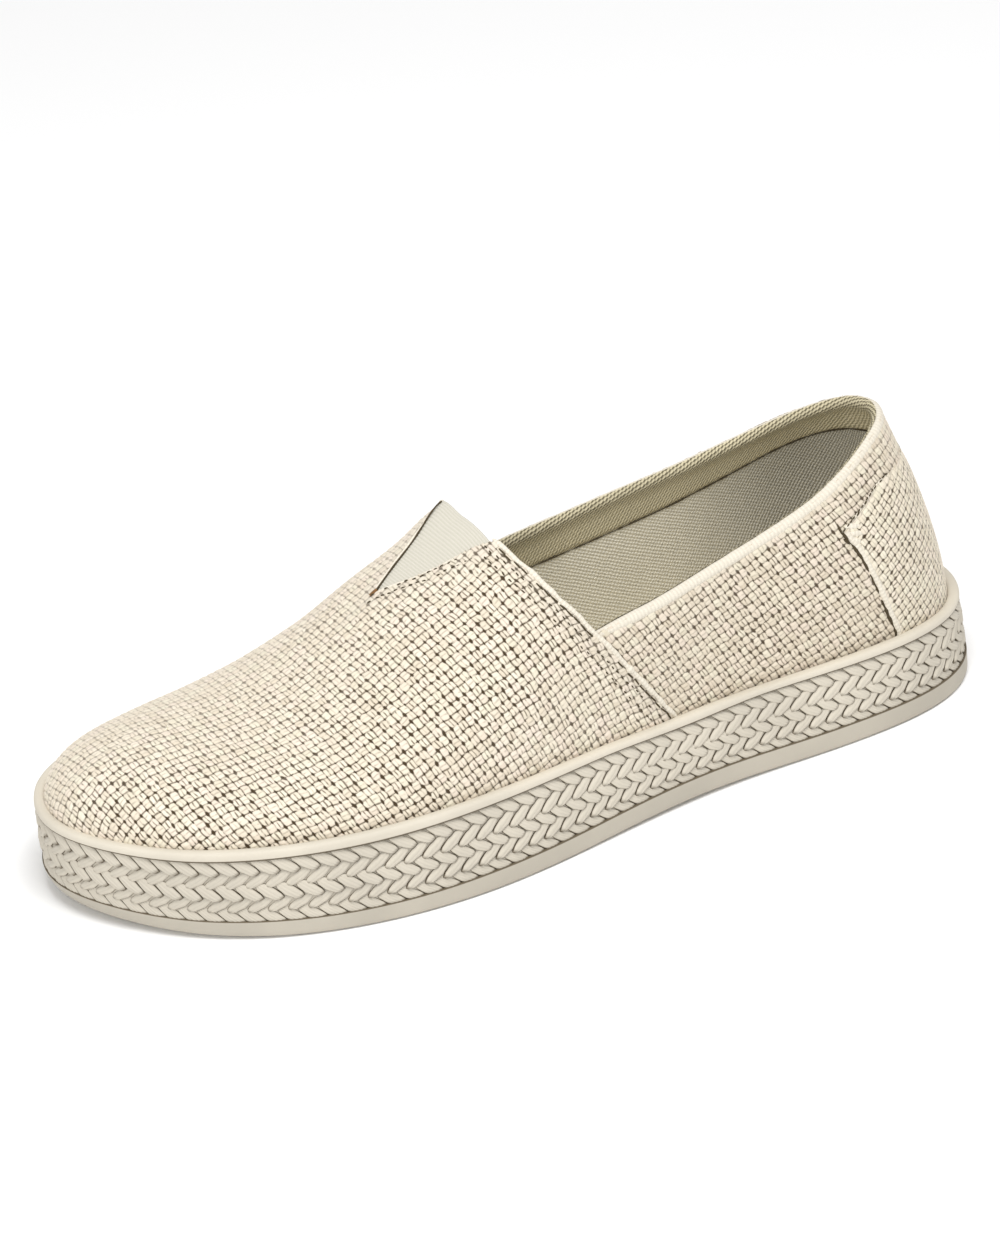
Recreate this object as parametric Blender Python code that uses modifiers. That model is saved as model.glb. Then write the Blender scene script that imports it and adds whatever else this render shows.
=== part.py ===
"""Canvas loafer, left shoe: a slip-on with a hollow canvas upper, an elastic gore at the instep,
a heel counter patch, a moulded two-piece sole and an insole.

+X runs from heel to toe, +Y to the outer (little toe) side, +Z up. The shoe stands on z = 0,
and the origin is under the middle of its bounding box. Lengths below are in millimetres.
"""

import math

import bmesh
import bpy
import numpy as np

MM = 0.001

# Driving dimensions.
SOLE_LENGTH = 289.0
BALL_WIDTH = 102.0
INSTEP_HEIGHT = 90.0  # ridge of the upper at the throat
HEEL_HEIGHT = 85.0  # collar at the back of the heel
SOLE_HEIGHT = 25.0  # top of the sole's rim at the heel
WALL = 1.8  # canvas and lining together
GAP = 0.3  # between pieces that meet
GORE_GAP = 0.45  # under the vamp's edges, where both are curved
COUNTER_THICKNESS = 1.0
GORE_THICKNESS = 1.1
INSOLE_THICKNESS = 4.0
BAND_HEIGHT = 5.9  # the plain band round the bottom of the sole
FLOOR_HEIGHT = 14.0  # under the upper's bottom edge
UPPER_INSET = 3.0  # from the sole's outline to the foot of the upper

# The sole's outline. Station is a share of SOLE_LENGTH, outer and inner shares of BALL_WIDTH.
OUTLINE = (
    # station, outer, inner
    (0.037, 0.240, 0.221),
    (0.151, 0.353, 0.313),
    (0.324, 0.367, 0.277),
    (0.480, 0.428, 0.317),
    (0.636, 0.500, 0.437),
    (0.774, 0.468, 0.501),
    (0.888, 0.335, 0.455),
    (0.965, 0.134, 0.351),
)
HEEL_POINT = (0.0, 0.0)
TOE_POINT = (1.0, -0.119)  # to the inner side, as the big toe is

# The ridge along the top of the upper: shift to the inner side, height over INSTEP_HEIGHT.
RIDGE = (
    # station, shift, height
    (-0.020, 0.000, 1.110),
    (0.342, -0.005, 1.130),
    (0.542, -0.010, 0.974),
    (0.591, -0.026, 0.868),
    (0.643, -0.044, 0.773),
    (0.688, -0.058, 0.680),
    (0.757, -0.074, 0.563),
    (0.812, -0.080, 0.517),
    (0.861, -0.082, 0.503),
    (0.947, -0.082, 0.497),
    (1.006, -0.082, 0.488),
)
RIDGE_END = 0.870  # the ridge runs out here and the sections fan round the toe
RIDGE_EASE = 0.048  # length over which it runs out

# Roundness of the vamp's sections, as powers of a superellipse.
VAMP_POWERS = (
    # station, outer across, outer up, inner across, inner up
    (0.54, 2.10, 2.29, 2.65, 2.42),
    (0.70, 2.16, 2.16, 1.94, 2.04),
    (0.86, 2.50, 2.25, 2.06, 2.26),
)

# The upper's foot stands plumb inside the sole up to here, for this share of a section.
SKIRT_HEIGHT = 22.0
SKIRT_SHARE = 0.10

# How far the quarters stand in from the sole's outline at four heights.
LEAN_HEIGHTS = (FLOOR_HEIGHT, 27.0, 55.0, 82.0)
LEAN = (
    # station, outer low, outer middle, outer high, inner low, inner middle, inner high
    (0.000, 3.5, 9.7, 19.8, 3.5, 9.7, 19.8),
    (0.151, 3.5, 6.3, 16.5, 3.5, 6.3, 16.5),
    (0.342, 3.6, 6.8, 12.5, 3.8, 6.3, 11.3),
    (1.000, 3.6, 6.8, 12.5, 3.8, 6.3, 11.3),
)
LEAN_TOP = 100.0  # height at which the quarter's form would close
QUARTER_END = 0.26  # behind this station the form is all quarter
VAMP_START = 0.41  # ahead of this one it is all vamp

# The collar's height over HEEL_HEIGHT.
COLLAR = (
    # station, outer, inner
    (0.065, 1.000, 1.000),
    (0.090, 0.982, 0.976),
    (0.203, 0.851, 0.875),
    (0.324, 0.755, 0.815),
    (0.411, 0.712, 0.760),
    (0.487, 0.695, 0.718),
    (0.560, 0.690, 0.710),
)

# The vamp's straight back edge, from the sole up to the corner of the gore.
VAMP_FOOT = (0.392, 26.0)  # station, height
THROAT = 0.538  # station of the gore's open end
GORE_HALF_WIDTH = 14.6
GORE_APEX = 0.643  # station of the notch's point
GORE_OVERLAP = 6.0  # hidden under the vamp's edges

# The sole's side: rim height over SOLE_HEIGHT, and how far the bottom band stands out.
SIDE = (
    # station, rim, flare
    (0.00, 1.000, 1.9),
    (0.41, 1.034, 2.7),
    (0.71, 1.088, 1.3),
    (1.00, 1.074, 0.3),
)
TOE_SPRING = 1.5
SPRING_START = 0.70
ARCH_RAISE = 0.9
ARCH_SPAN = (0.21, 0.58)
TOE_ROLL = 2.6  # the band's bottom edge tucks in round the toe
TOE_ROLL_START = 0.83

# One row for each turn of a section through the wall, from the bottom edge up.
# Offset is out from the outline, spread the share of the flare, level the share of the height.
BAND_PROFILE = (
    # offset, spread, level
    (-0.3, 1.0, 0.00),
    (0.7, 1.0, 0.10),
    (0.6, 1.0, 0.35),
    (0.2, 1.0, 0.88),
    (-0.4, 1.0, 1.00),
)
WALL_PROFILE = (
    # offset, spread, level
    (-0.8, 1.0, 0.00),
    (0.1, 0.9, 0.05),
    (0.4, 0.5, 0.42),
    (0.4, 0.0, 0.84),
    (-0.3, 0.0, 0.875),
    (0.6, 0.0, 0.90),
    (0.8, 0.0, 0.94),
    (0.3, 0.0, 0.98),
    (-1.2, 0.0, 1.00),
    (-2.6, 0.0, 0.99),
    (-3.0, 0.0, 0.95),
    (-2.7, 0.0, 0.60),
)
CUP_INSET = 2.65  # the wall's inner face where it meets the floor
INSOLE_PROFILE = (
    # offset, level
    (-0.6, 0.0),
    (0.0, 0.2),
    (0.0, 0.75),
    (-0.8, 1.0),
)

# The heel counter patch: the station of its front edge at each height, and the height of
# its top edge at each share of the way from the back of the heel to the front corner.
COUNTER_FRONT = (
    # height, station
    (26.0, 0.118),
    (41.5, 0.138),
    (52.0, 0.151),
    (62.0, 0.171),
)
COUNTER_TOP = (
    # share, height
    (0.0, 70.5),
    (0.4, 72.0),
    (0.7, 71.0),
    (1.0, 62.0),
)

# Tread under heel and forefoot: first and last groove, as stations.
TREAD_FIELDS = ((0.075, 0.215), (0.520, 0.690))
TREAD_MARGIN = 9.0
GROOVE_WIDTH = 2.4
GROOVE_DEPTH = 1.2
GROOVE_PITCH = 9.0

# Columns along each half of the upper, by stretch, and rows up it.
COLLAR_COLUMNS = 18
EDGE_COLUMNS = 7
NOTCH_COLUMNS = 6
TOE_COLUMNS = 17
UPPER_ROWS = 11
SPLINE_SAMPLES = 720
SOLVER_STEPS = 40


def table_curve(rows, column, scale=1.0):
    """The smooth curve through one column of a table, read against its first column."""
    at = np.array([row[0] for row in rows], float)
    value = np.array([row[column] for row in rows], float) * scale
    run = np.diff(at)
    rise = np.diff(value) / run
    slope = np.concatenate([rise[:1], np.zeros(len(rise) - 1), rise[-1:]])
    for i in range(1, len(rise)):
        if rise[i - 1] * rise[i] > 0:
            before = 2 * run[i] + run[i - 1]
            after = run[i] + 2 * run[i - 1]
            slope[i] = (before + after) / (before / rise[i - 1] + after / rise[i])

    def curve(station):
        station = np.clip(station, at[0], at[-1])
        i = np.clip(np.searchsorted(at, station) - 1, 0, len(run) - 1)
        t = (station - at[i]) / run[i]
        ease = t * t * (3 - 2 * t)
        leave = t * (1 - t) ** 2 * run[i] * slope[i]
        arrive = t * t * (t - 1) * run[i] * slope[i + 1]
        return value[i] + (value[i + 1] - value[i]) * ease + leave + arrive

    return curve


def closed_spline(points, count):
    """Points and headings along the closed cubic spline through the given points."""
    knots = np.array(points, float)
    size = len(knots)
    ahead = np.roll(knots, -1, axis=0)
    chord = np.linalg.norm(ahead - knots, axis=1)
    slope = (ahead - knots) / chord[:, None]
    matrix = np.zeros((size, size))
    for i in range(size):
        matrix[i, i - 1] += chord[i - 1]
        matrix[i, i] += 2 * (chord[i - 1] + chord[i])
        matrix[i, (i + 1) % size] += chord[i]
    bend = np.linalg.solve(matrix, 6 * (slope - np.roll(slope, 1, axis=0)))
    next_bend = np.roll(bend, -1, axis=0)
    along = np.linspace(0, chord.sum(), count, endpoint=False)
    starts = np.concatenate([[0], np.cumsum(chord)])
    i = np.searchsorted(starts, along, side="right") - 1
    h = chord[i][:, None]
    b = (along - starts[i])[:, None]
    a = h - b
    place = (bend[i] * a**3 + next_bend[i] * b**3) / (6 * h)
    place = place + (knots[i] / h - bend[i] * h / 6) * a
    place = place + (ahead[i] / h - next_bend[i] * h / 6) * b
    heading = (next_bend[i] * b**2 - bend[i] * a**2) / (2 * h)
    heading = heading + slope[i] - (next_bend[i] - bend[i]) * h / 6
    return place, heading / np.linalg.norm(heading, axis=1)[:, None]


def outline_halves():
    """The outline from heel to toe on each side: points, outward normals and shares of its length."""
    outer = [(row[0], row[1]) for row in OUTLINE]
    inner = [(row[0], -row[2]) for row in reversed(OUTLINE)]
    knots = [HEEL_POINT] + outer + [TOE_POINT] + inner
    scale = np.array([SOLE_LENGTH, BALL_WIDTH])
    points, heading = closed_spline(np.array(knots) * scale, SPLINE_SAMPLES)
    normals = np.stack([-heading[:, 1], heading[:, 0]], axis=1)
    toe = int(np.argmax(points[:, 0]))
    heel = int(np.argmin(points[:, 0])) % SPLINE_SAMPLES
    if heel > SPLINE_SAMPLES // 2:
        heel -= SPLINE_SAMPLES
    orders = {
        1: np.arange(heel, toe + 1),
        -1: np.arange(heel + SPLINE_SAMPLES, toe - 1, -1),
    }
    halves = {}
    for side, order in orders.items():
        path = points[order % SPLINE_SAMPLES]
        steps = np.linalg.norm(np.diff(path, axis=0), axis=1)
        share = np.concatenate([[0], np.cumsum(steps)]) / steps.sum()
        halves[side] = (path, normals[order % SPLINE_SAMPLES], share)
    return halves


HALVES = outline_halves()

ridge_shift = table_curve(RIDGE, 1, BALL_WIDTH)
ridge_height = table_curve(RIDGE, 2, INSTEP_HEIGHT)
rim_height = table_curve(SIDE, 1, SOLE_HEIGHT)
flare_width = table_curve(SIDE, 2)
collar_height = {
    1: table_curve(COLLAR, 1, HEEL_HEIGHT),
    -1: table_curve(COLLAR, 2, HEEL_HEIGHT),
}
power_curves = {
    1: [table_curve(VAMP_POWERS, column) for column in (1, 2)],
    -1: [table_curve(VAMP_POWERS, column) for column in (3, 4)],
}
lean_curves = {
    1: [table_curve(LEAN, column) for column in (1, 2, 3)],
    -1: [table_curve(LEAN, column) for column in (4, 5, 6)],
}
counter_front = table_curve(COUNTER_FRONT, 1, SOLE_LENGTH)
counter_top = table_curve(COUNTER_TOP, 1)


def outline_point(u, side, offset=0.0):
    """A point on the outline, u of the way from heel to toe, moved out by the offset."""
    path, normals, share = HALVES[side]
    px = np.interp(u, share, path[:, 0]) + offset * np.interp(u, share, normals[:, 0])
    py = np.interp(u, share, path[:, 1]) + offset * np.interp(u, share, normals[:, 1])
    return px, py


def share_at(x, side):
    """Where along the half outline the foot of the upper has this x."""
    path, normals, share = HALVES[side]
    return np.interp(x, path[:, 0] - UPPER_INSET * normals[:, 0], share)


def smooth_step(value, low, high):
    t = np.clip((value - low) / (high - low), 0, 1)
    return t * t * (3 - 2 * t)


def ground_lift(x):
    """Height of the sole's underside: flat at heel and ball, raised at the arch and toe."""
    station = np.asarray(x, float) / SOLE_LENGTH
    spring = np.clip((station - SPRING_START) / (1 - SPRING_START), 0, None) ** 2
    span = np.clip((station - ARCH_SPAN[0]) / (ARCH_SPAN[1] - ARCH_SPAN[0]), 0, 1)
    return TOE_SPRING * spring + ARCH_RAISE * np.sin(np.pi * span) ** 2


def ease_out(x):
    """The ridge's x for a section at x: the same, until the ridge runs out before the toe."""
    end = RIDGE_END * SOLE_LENGTH
    ease = RIDGE_EASE * SOLE_LENGTH
    return end - ease * np.log1p(np.exp((end - x) / ease))


def quarter_form(u, height, side):
    """The wall round the heel and waist, by height: the outline, leaning in as it rises."""
    x, _ = outline_point(u, side)
    level = np.minimum(height, LEAN_TOP)
    insets = [np.full_like(x, UPPER_INSET)]
    insets += [curve(x / SOLE_LENGTH) for curve in lean_curves[side]]
    inset = 0
    for i, own in enumerate(LEAN_HEIGHTS):
        weight = 1
        for other in LEAN_HEIGHTS:
            if other != own:
                weight = weight * (level - other) / (own - other)
        inset = inset + weight * insets[i]
    x, y = outline_point(u, side, -inset)
    return np.stack([x, y, height], axis=-1)


def upper_form(u, w, side):
    """The upper's outer face: u runs from heel to toe, w from the sole up to the ridge."""
    u, w = np.broadcast_arrays(np.asarray(u, float), np.asarray(w, float))
    foot_x, foot_y = outline_point(u, side, -UPPER_INSET)
    across, up = (curve(foot_x / SOLE_LENGTH) for curve in power_curves[side])
    skirt = np.clip(w / SKIRT_SHARE, 0, 1)
    foot_z = FLOOR_HEIGHT + (SKIRT_HEIGHT - FLOOR_HEIGHT) * skirt + ground_lift(foot_x)
    arc = np.clip((w - SKIRT_SHARE) / (1 - SKIRT_SHARE), 0, 1) * np.pi / 2
    top_x = ease_out(foot_x)
    top_y = ridge_shift(top_x / SOLE_LENGTH)
    run = np.clip(np.cos(arc), 0, 1) ** (2 / across)
    climb = np.sin(arc) ** (2 / up)
    x = top_x + (foot_x - top_x) * run
    y = top_y + (foot_y - top_y) * run
    z = foot_z + (ridge_height(x / SOLE_LENGTH) - SKIRT_HEIGHT - ground_lift(foot_x)) * climb
    vamp = np.stack([x, y, z], axis=-1)
    quarter = quarter_form(u, foot_z + (LEAN_TOP - SKIRT_HEIGHT) * climb, side)
    station = outline_point(u, side)[0] / SOLE_LENGTH
    blend = smooth_step(station, QUARTER_END, VAMP_START)[..., None]
    return quarter + (vamp - quarter) * blend


def solve(test, low, high):
    """The value between low and high up to which the test stays true."""
    low = np.array(low, float)
    high = np.array(high, float)
    for _ in range(SOLVER_STEPS):
        middle = (low + high) / 2
        held = test(middle)
        low = np.where(held, middle, low)
        high = np.where(held, high, middle)
    return low


def notch_half_width(x):
    """Half the width of the open notch at x, by straight edges from throat to apex."""
    start = THROAT * SOLE_LENGTH
    apex = GORE_APEX * SOLE_LENGTH
    return GORE_HALF_WIDTH * np.clip((apex - x) / (apex - start), 0, 1)


def section_at(x, reach, side):
    """The w at which the section at x is this far across from the ridge."""
    u = share_at(x, side)
    middle = ridge_shift(x / SOLE_LENGTH)

    def still_wide(w):
        return (upper_form(u, w, side)[..., 1] - middle) * side > reach

    return solve(still_wide, np.zeros_like(u), np.ones_like(u))


def vamp_edge_height(x, side):
    """Height of the vamp's straight back edge at x."""
    throat_x = THROAT * SOLE_LENGTH
    corner_w = section_at(throat_x, GORE_HALF_WIDTH, side)
    corner = upper_form(share_at(throat_x, side), corner_w, side)
    foot_x = VAMP_FOOT[0] * SOLE_LENGTH
    rise = (corner[2] - VAMP_FOOT[1]) / (throat_x - foot_x)
    return VAMP_FOOT[1] + rise * (x - foot_x)


def cloth_top(u, side):
    """The w at which the cloth ends in each column: collar, vamp edge, notch or ridge."""
    u = np.asarray(u, float)

    def on_cloth(w):
        x, y, z = np.moveaxis(upper_form(u, w, side), -1, 0)
        collar = collar_height[side](x / SOLE_LENGTH)
        below = z < np.maximum(collar, vamp_edge_height(x, side))
        outside = (y - ridge_shift(x / SOLE_LENGTH)) * side > notch_half_width(x)
        return np.where(x < THROAT * SOLE_LENGTH, below, outside)

    top = solve(on_cloth, np.zeros_like(u), np.ones_like(u))
    return np.where(share_at(GORE_APEX * SOLE_LENGTH, side) <= u + 1e-9, 1.0, top)


def collar_end(side):
    """x of the low point where the collar meets the vamp's back edge."""

    def behind(x):
        return collar_height[side](x / SOLE_LENGTH) > vamp_edge_height(x, side)

    return float(solve(behind, VAMP_FOOT[0] * SOLE_LENGTH, THROAT * SOLE_LENGTH))


def column_shares():
    """The columns of each half, as shares of its outline. Ahead of the throat they pair up."""
    shares = {}
    closer = np.linspace(1, 0, EDGE_COLUMNS, endpoint=False)
    for side in (1, -1):
        low = float(share_at(collar_end(side), side))
        throat = float(share_at(THROAT * SOLE_LENGTH, side))
        apex = float(share_at(GORE_APEX * SOLE_LENGTH, side))
        shares[side] = np.concatenate(
            [
                np.linspace(0, low, COLLAR_COLUMNS, endpoint=False),
                throat + (low - throat) * closer**2,
                np.linspace(throat, apex, NOTCH_COLUMNS, endpoint=False),
                np.linspace(apex, 1, TOE_COLUMNS + 1),
            ]
        )
    ahead = COLLAR_COLUMNS + EDGE_COLUMNS
    paired_x = outline_point(shares[1][ahead:-1], 1, -UPPER_INSET)[0]
    shares[-1][ahead:-1] = share_at(paired_x, -1)
    return shares


SHARES = column_shares()


def ring(offset, height):
    """A closed loop round the sole. Offset and height are functions of x."""
    loop = []
    for side in (1, -1):
        base_x, _ = outline_point(SHARES[side], side)
        x, y = outline_point(SHARES[side], side, offset(base_x))
        points = np.stack([x, y, height(base_x)], axis=-1)
        loop.append(points if side > 0 else points[-2:0:-1])
    return np.concatenate(loop)


def band_ring(offset, spread, level):
    """A loop round the plain band under the wall."""

    def out(x):
        roll = np.clip((x / SOLE_LENGTH - TOE_ROLL_START) / (1 - TOE_ROLL_START), 0, 1)
        tuck = TOE_ROLL * roll**2
        return offset + spread * flare_width(x / SOLE_LENGTH) - tuck * (1 - level)

    return ring(out, lambda x: ground_lift(x) + level * BAND_HEIGHT)


def wall_ring(offset, spread, level):
    """A loop round the sole's side wall, between the bottom band and the rim."""

    def height(x):
        low = ground_lift(x) + BAND_HEIGHT + GAP
        return low + level * (rim_height(x / SOLE_LENGTH) - low)

    return ring(lambda x: offset + spread * flare_width(x / SOLE_LENGTH), height)


def plan_centre():
    """The middle of the widest line round the sole, which is the middle of the whole shoe."""
    rings = [wall_ring(*row) for row in WALL_PROFILE] + [band_ring(*row) for row in BAND_PROFILE]
    points = np.concatenate(rings)
    middle = (points.min(axis=0) + points.max(axis=0)) / 2
    return middle * (1, 1, 0)


CENTRE = plan_centre()


def in_place(point):
    return (np.asarray(point, float) - CENTRE) * MM


def material(name, colour, roughness):
    made = bpy.data.materials.new(name)
    made.use_nodes = True
    shader = made.node_tree.nodes["Principled BSDF"]
    shader.inputs["Base Color"].default_value = (*colour, 1)
    shader.inputs["Roughness"].default_value = roughness
    shader.inputs["Metallic"].default_value = 0
    return made


def add_object(name, bm, collection, finish=None):
    mesh = bpy.data.meshes.new(name)
    bm.to_mesh(mesh)
    bm.free()
    obj = bpy.data.objects.new(name, mesh)
    collection.objects.link(obj)
    if finish:
        mesh.materials.append(finish)
        mesh.shade_smooth()
        mesh.set_sharp_from_angle(angle=math.radians(40))
    return obj


def loft(rings):
    """A closed solid through loops round the sole, capped by rungs from side to side."""
    bm = bmesh.new()
    loops = [[bm.verts.new(in_place(point)) for point in loop] for loop in rings]
    count = len(loops[0])
    for low, high in zip(loops, loops[1:]):
        for i in range(count):
            j = (i + 1) % count
            bm.faces.new((low[i], low[j], high[j], high[i]))
    for loop in (loops[0], loops[-1]):
        bm.faces.new((loop[0], loop[1], loop[-1]))
        for i in range(1, count // 2 - 1):
            bm.faces.new((loop[i], loop[i + 1], loop[-i - 1], loop[-i]))
        middle = count // 2
        bm.faces.new((loop[middle - 1], loop[middle], loop[middle + 1]))
    bmesh.ops.recalc_face_normals(bm, faces=bm.faces)
    return bm


def sheet(grids):
    """One open surface from grids of columns and rows that share their edges."""
    bm = bmesh.new()
    for side, grid in grids:
        verts = [[bm.verts.new(in_place(point)) for point in column] for column in grid]
        for left, right in zip(verts, verts[1:]):
            for j in range(len(left) - 1):
                corners = (left[j], left[j + 1], right[j + 1], right[j])
                bm.faces.new(corners if side > 0 else corners[::-1])
    bmesh.ops.remove_doubles(bm, verts=bm.verts, dist=0.01 * MM)
    bm.normal_update()
    return bm


def lift(bm, distance):
    """Moves a sheet along its normals, outwards where the distance is positive."""
    bm.normal_update()
    moves = [(vert, vert.normal * distance * MM) for vert in bm.verts]
    for vert, move in moves:
        vert.co += move
    return bm


def thicken(obj, thickness, offset):
    solid = obj.modifiers.new("wall", "SOLIDIFY")
    solid.thickness = thickness * MM
    solid.offset = offset
    solid.use_even_offset = True
    solid.use_quality_normals = True
    return solid


def cut(obj, cutter, operation="DIFFERENCE"):
    boolean = obj.modifiers.new(cutter.name, "BOOLEAN")
    boolean.operation = operation
    boolean.object = cutter
    return boolean


def as_cutter(obj):
    obj.hide_render = True
    obj.display_type = "WIRE"
    return obj


def make_upper(collection, finish):
    grids = {}
    for side in (1, -1):
        rows = np.linspace(0, 1, UPPER_ROWS + 1)[None, :]
        tops = cloth_top(SHARES[side], side)[:, None]
        grids[side] = upper_form(SHARES[side][:, None], rows * tops, side)
    apex = COLLAR_COLUMNS + EDGE_COLUMNS + NOTCH_COLUMNS
    grids[-1][0] = grids[1][0]
    grids[-1][-1] = grids[1][-1]
    grids[-1][apex:, -1] = grids[1][apex:, -1]
    obj = add_object("upper", sheet(grids.items()), collection, finish)
    thicken(obj, WALL, -1)
    return obj


def make_heel_counter(collection, finish):
    rows = 7
    columns = 9
    across = np.linspace(0, 1, columns + 1)
    grids = []
    for side in (1, -1):
        bottom = SOLE_HEIGHT + 2 * GAP
        rise = counter_top(across) - bottom
        height = bottom + rise[:, None] * np.linspace(0, 1, rows + 1)
        path, _, share = HALVES[side]
        front = np.interp(counter_front(height), path[:, 0], share)
        grids.append((side, quarter_form(front * across[:, None], height, side)))
    bm = lift(sheet(grids), GAP)
    obj = add_object("heel_counter", bm, collection, finish)
    thicken(obj, COUNTER_THICKNESS, 1)
    return obj


def make_elastic_gore(collection, finish):
    columns = 12
    rows = 8
    stations = np.linspace(THROAT * SOLE_LENGTH, GORE_APEX * SOLE_LENGTH + GORE_OVERLAP, columns + 1)
    grids = []
    for side in (1, -1):
        column_grid = []
        for x in stations:
            reach = (notch_half_width(x) + GORE_OVERLAP) * np.linspace(1, 0, rows + 1)
            w = np.array([float(section_at(x, span, side)) for span in reach])
            w[-1] = 1
            column_grid.append(upper_form(share_at(x, side), w, side))
        grids.append((side, np.array(column_grid)))
    bm = lift(sheet(grids), -(WALL + GORE_GAP))
    obj = add_object("elastic_gore", bm, collection, finish)
    thicken(obj, GORE_THICKNESS, -1)
    return obj


def make_outsole(collection, cutters, finish):
    bm = loft([band_ring(*row) for row in BAND_PROFILE])
    obj = add_object("outsole", bm, collection, finish)
    field = loft(
        [
            ring(lambda x: np.full_like(x, -TREAD_MARGIN), lambda x: np.full_like(x, z))
            for z in (-GROOVE_DEPTH, GROOVE_DEPTH)
        ]
    )
    tread_field = as_cutter(add_object("tread_field", field, cutters))
    for number, (first, last) in enumerate(TREAD_FIELDS):
        count = round((last - first) * SOLE_LENGTH / GROOVE_PITCH) + 1
        bar = bmesh.new()
        bmesh.ops.create_cube(bar, size=1)
        size = (GROOVE_WIDTH, BALL_WIDTH * 2, GROOVE_DEPTH * 2)
        bmesh.ops.scale(bar, vec=[length * MM for length in size], verts=bar.verts)
        grooves = as_cutter(add_object(f"tread_grooves_{number + 1}", bar, cutters))
        grooves.location = [*in_place((first * SOLE_LENGTH, 0, 0))[:2], 0]
        array = grooves.modifiers.new("row", "ARRAY")
        array.use_relative_offset = False
        array.use_constant_offset = True
        array.constant_offset_displace = (GROOVE_PITCH * MM, 0, 0)
        array.count = count
        cut(grooves, tread_field, "INTERSECT")
        cut(obj, grooves)
    return obj


def make_midsole(collection, finish):
    rings = [wall_ring(*row) for row in WALL_PROFILE]
    rings.append(
        ring(
            lambda x: np.full_like(x, -CUP_INSET),
            lambda x: FLOOR_HEIGHT - GAP + ground_lift(x),
        )
    )
    return add_object("midsole", loft(rings), collection, finish)


def make_insole(collection, finish):
    edge = -(UPPER_INSET + WALL + 2 * GAP)
    rings = [
        ring(
            lambda x: np.full_like(x, edge + offset),
            lambda x: FLOOR_HEIGHT + ground_lift(x) + level * INSOLE_THICKNESS,
        )
        for offset, level in INSOLE_PROFILE
    ]
    return add_object("insole", loft(rings), collection, finish)


def new_collection(name):
    made = bpy.data.collections.new(name)
    bpy.context.scene.collection.children.link(made)
    return made


def main():
    for obj in list(bpy.data.objects):
        bpy.data.objects.remove(obj)
    parts = new_collection("canvas_loafer")
    cutters = new_collection("cutters")
    canvas = material("canvas", (0.80, 0.73, 0.62), 0.9)
    elastic = material("elastic", (0.84, 0.80, 0.69), 0.75)
    rubber = material("rubber", (0.76, 0.70, 0.58), 0.55)
    footbed = material("footbed", (0.45, 0.42, 0.30), 0.9)
    make_outsole(parts, cutters, rubber)
    make_midsole(parts, rubber)
    make_insole(parts, footbed)
    make_upper(parts, canvas)
    make_heel_counter(parts, canvas)
    make_elastic_gore(parts, elastic)


main()
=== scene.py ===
import math

import bmesh
import bpy
import numpy as np
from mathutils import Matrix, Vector
from mathutils.bvhtree import BVHTree


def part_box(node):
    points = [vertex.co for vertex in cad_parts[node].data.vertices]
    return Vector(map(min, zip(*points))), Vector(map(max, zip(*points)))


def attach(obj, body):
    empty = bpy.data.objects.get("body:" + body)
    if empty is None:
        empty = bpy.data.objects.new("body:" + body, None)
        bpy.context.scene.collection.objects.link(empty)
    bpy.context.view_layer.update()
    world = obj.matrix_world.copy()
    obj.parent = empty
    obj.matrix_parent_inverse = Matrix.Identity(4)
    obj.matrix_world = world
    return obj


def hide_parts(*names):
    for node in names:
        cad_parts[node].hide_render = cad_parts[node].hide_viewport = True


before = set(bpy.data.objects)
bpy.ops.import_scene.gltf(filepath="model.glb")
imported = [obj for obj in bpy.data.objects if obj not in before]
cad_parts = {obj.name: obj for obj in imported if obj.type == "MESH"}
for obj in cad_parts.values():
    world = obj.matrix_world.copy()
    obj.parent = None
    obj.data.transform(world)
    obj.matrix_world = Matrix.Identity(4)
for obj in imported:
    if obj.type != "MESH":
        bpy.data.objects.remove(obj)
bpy.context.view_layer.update()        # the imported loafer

mm = 0.001
rng = np.random.default_rng(11)
sides = {1: "outer", -1: "inner"}
upward = np.array([0, 0, 1.0])

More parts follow.
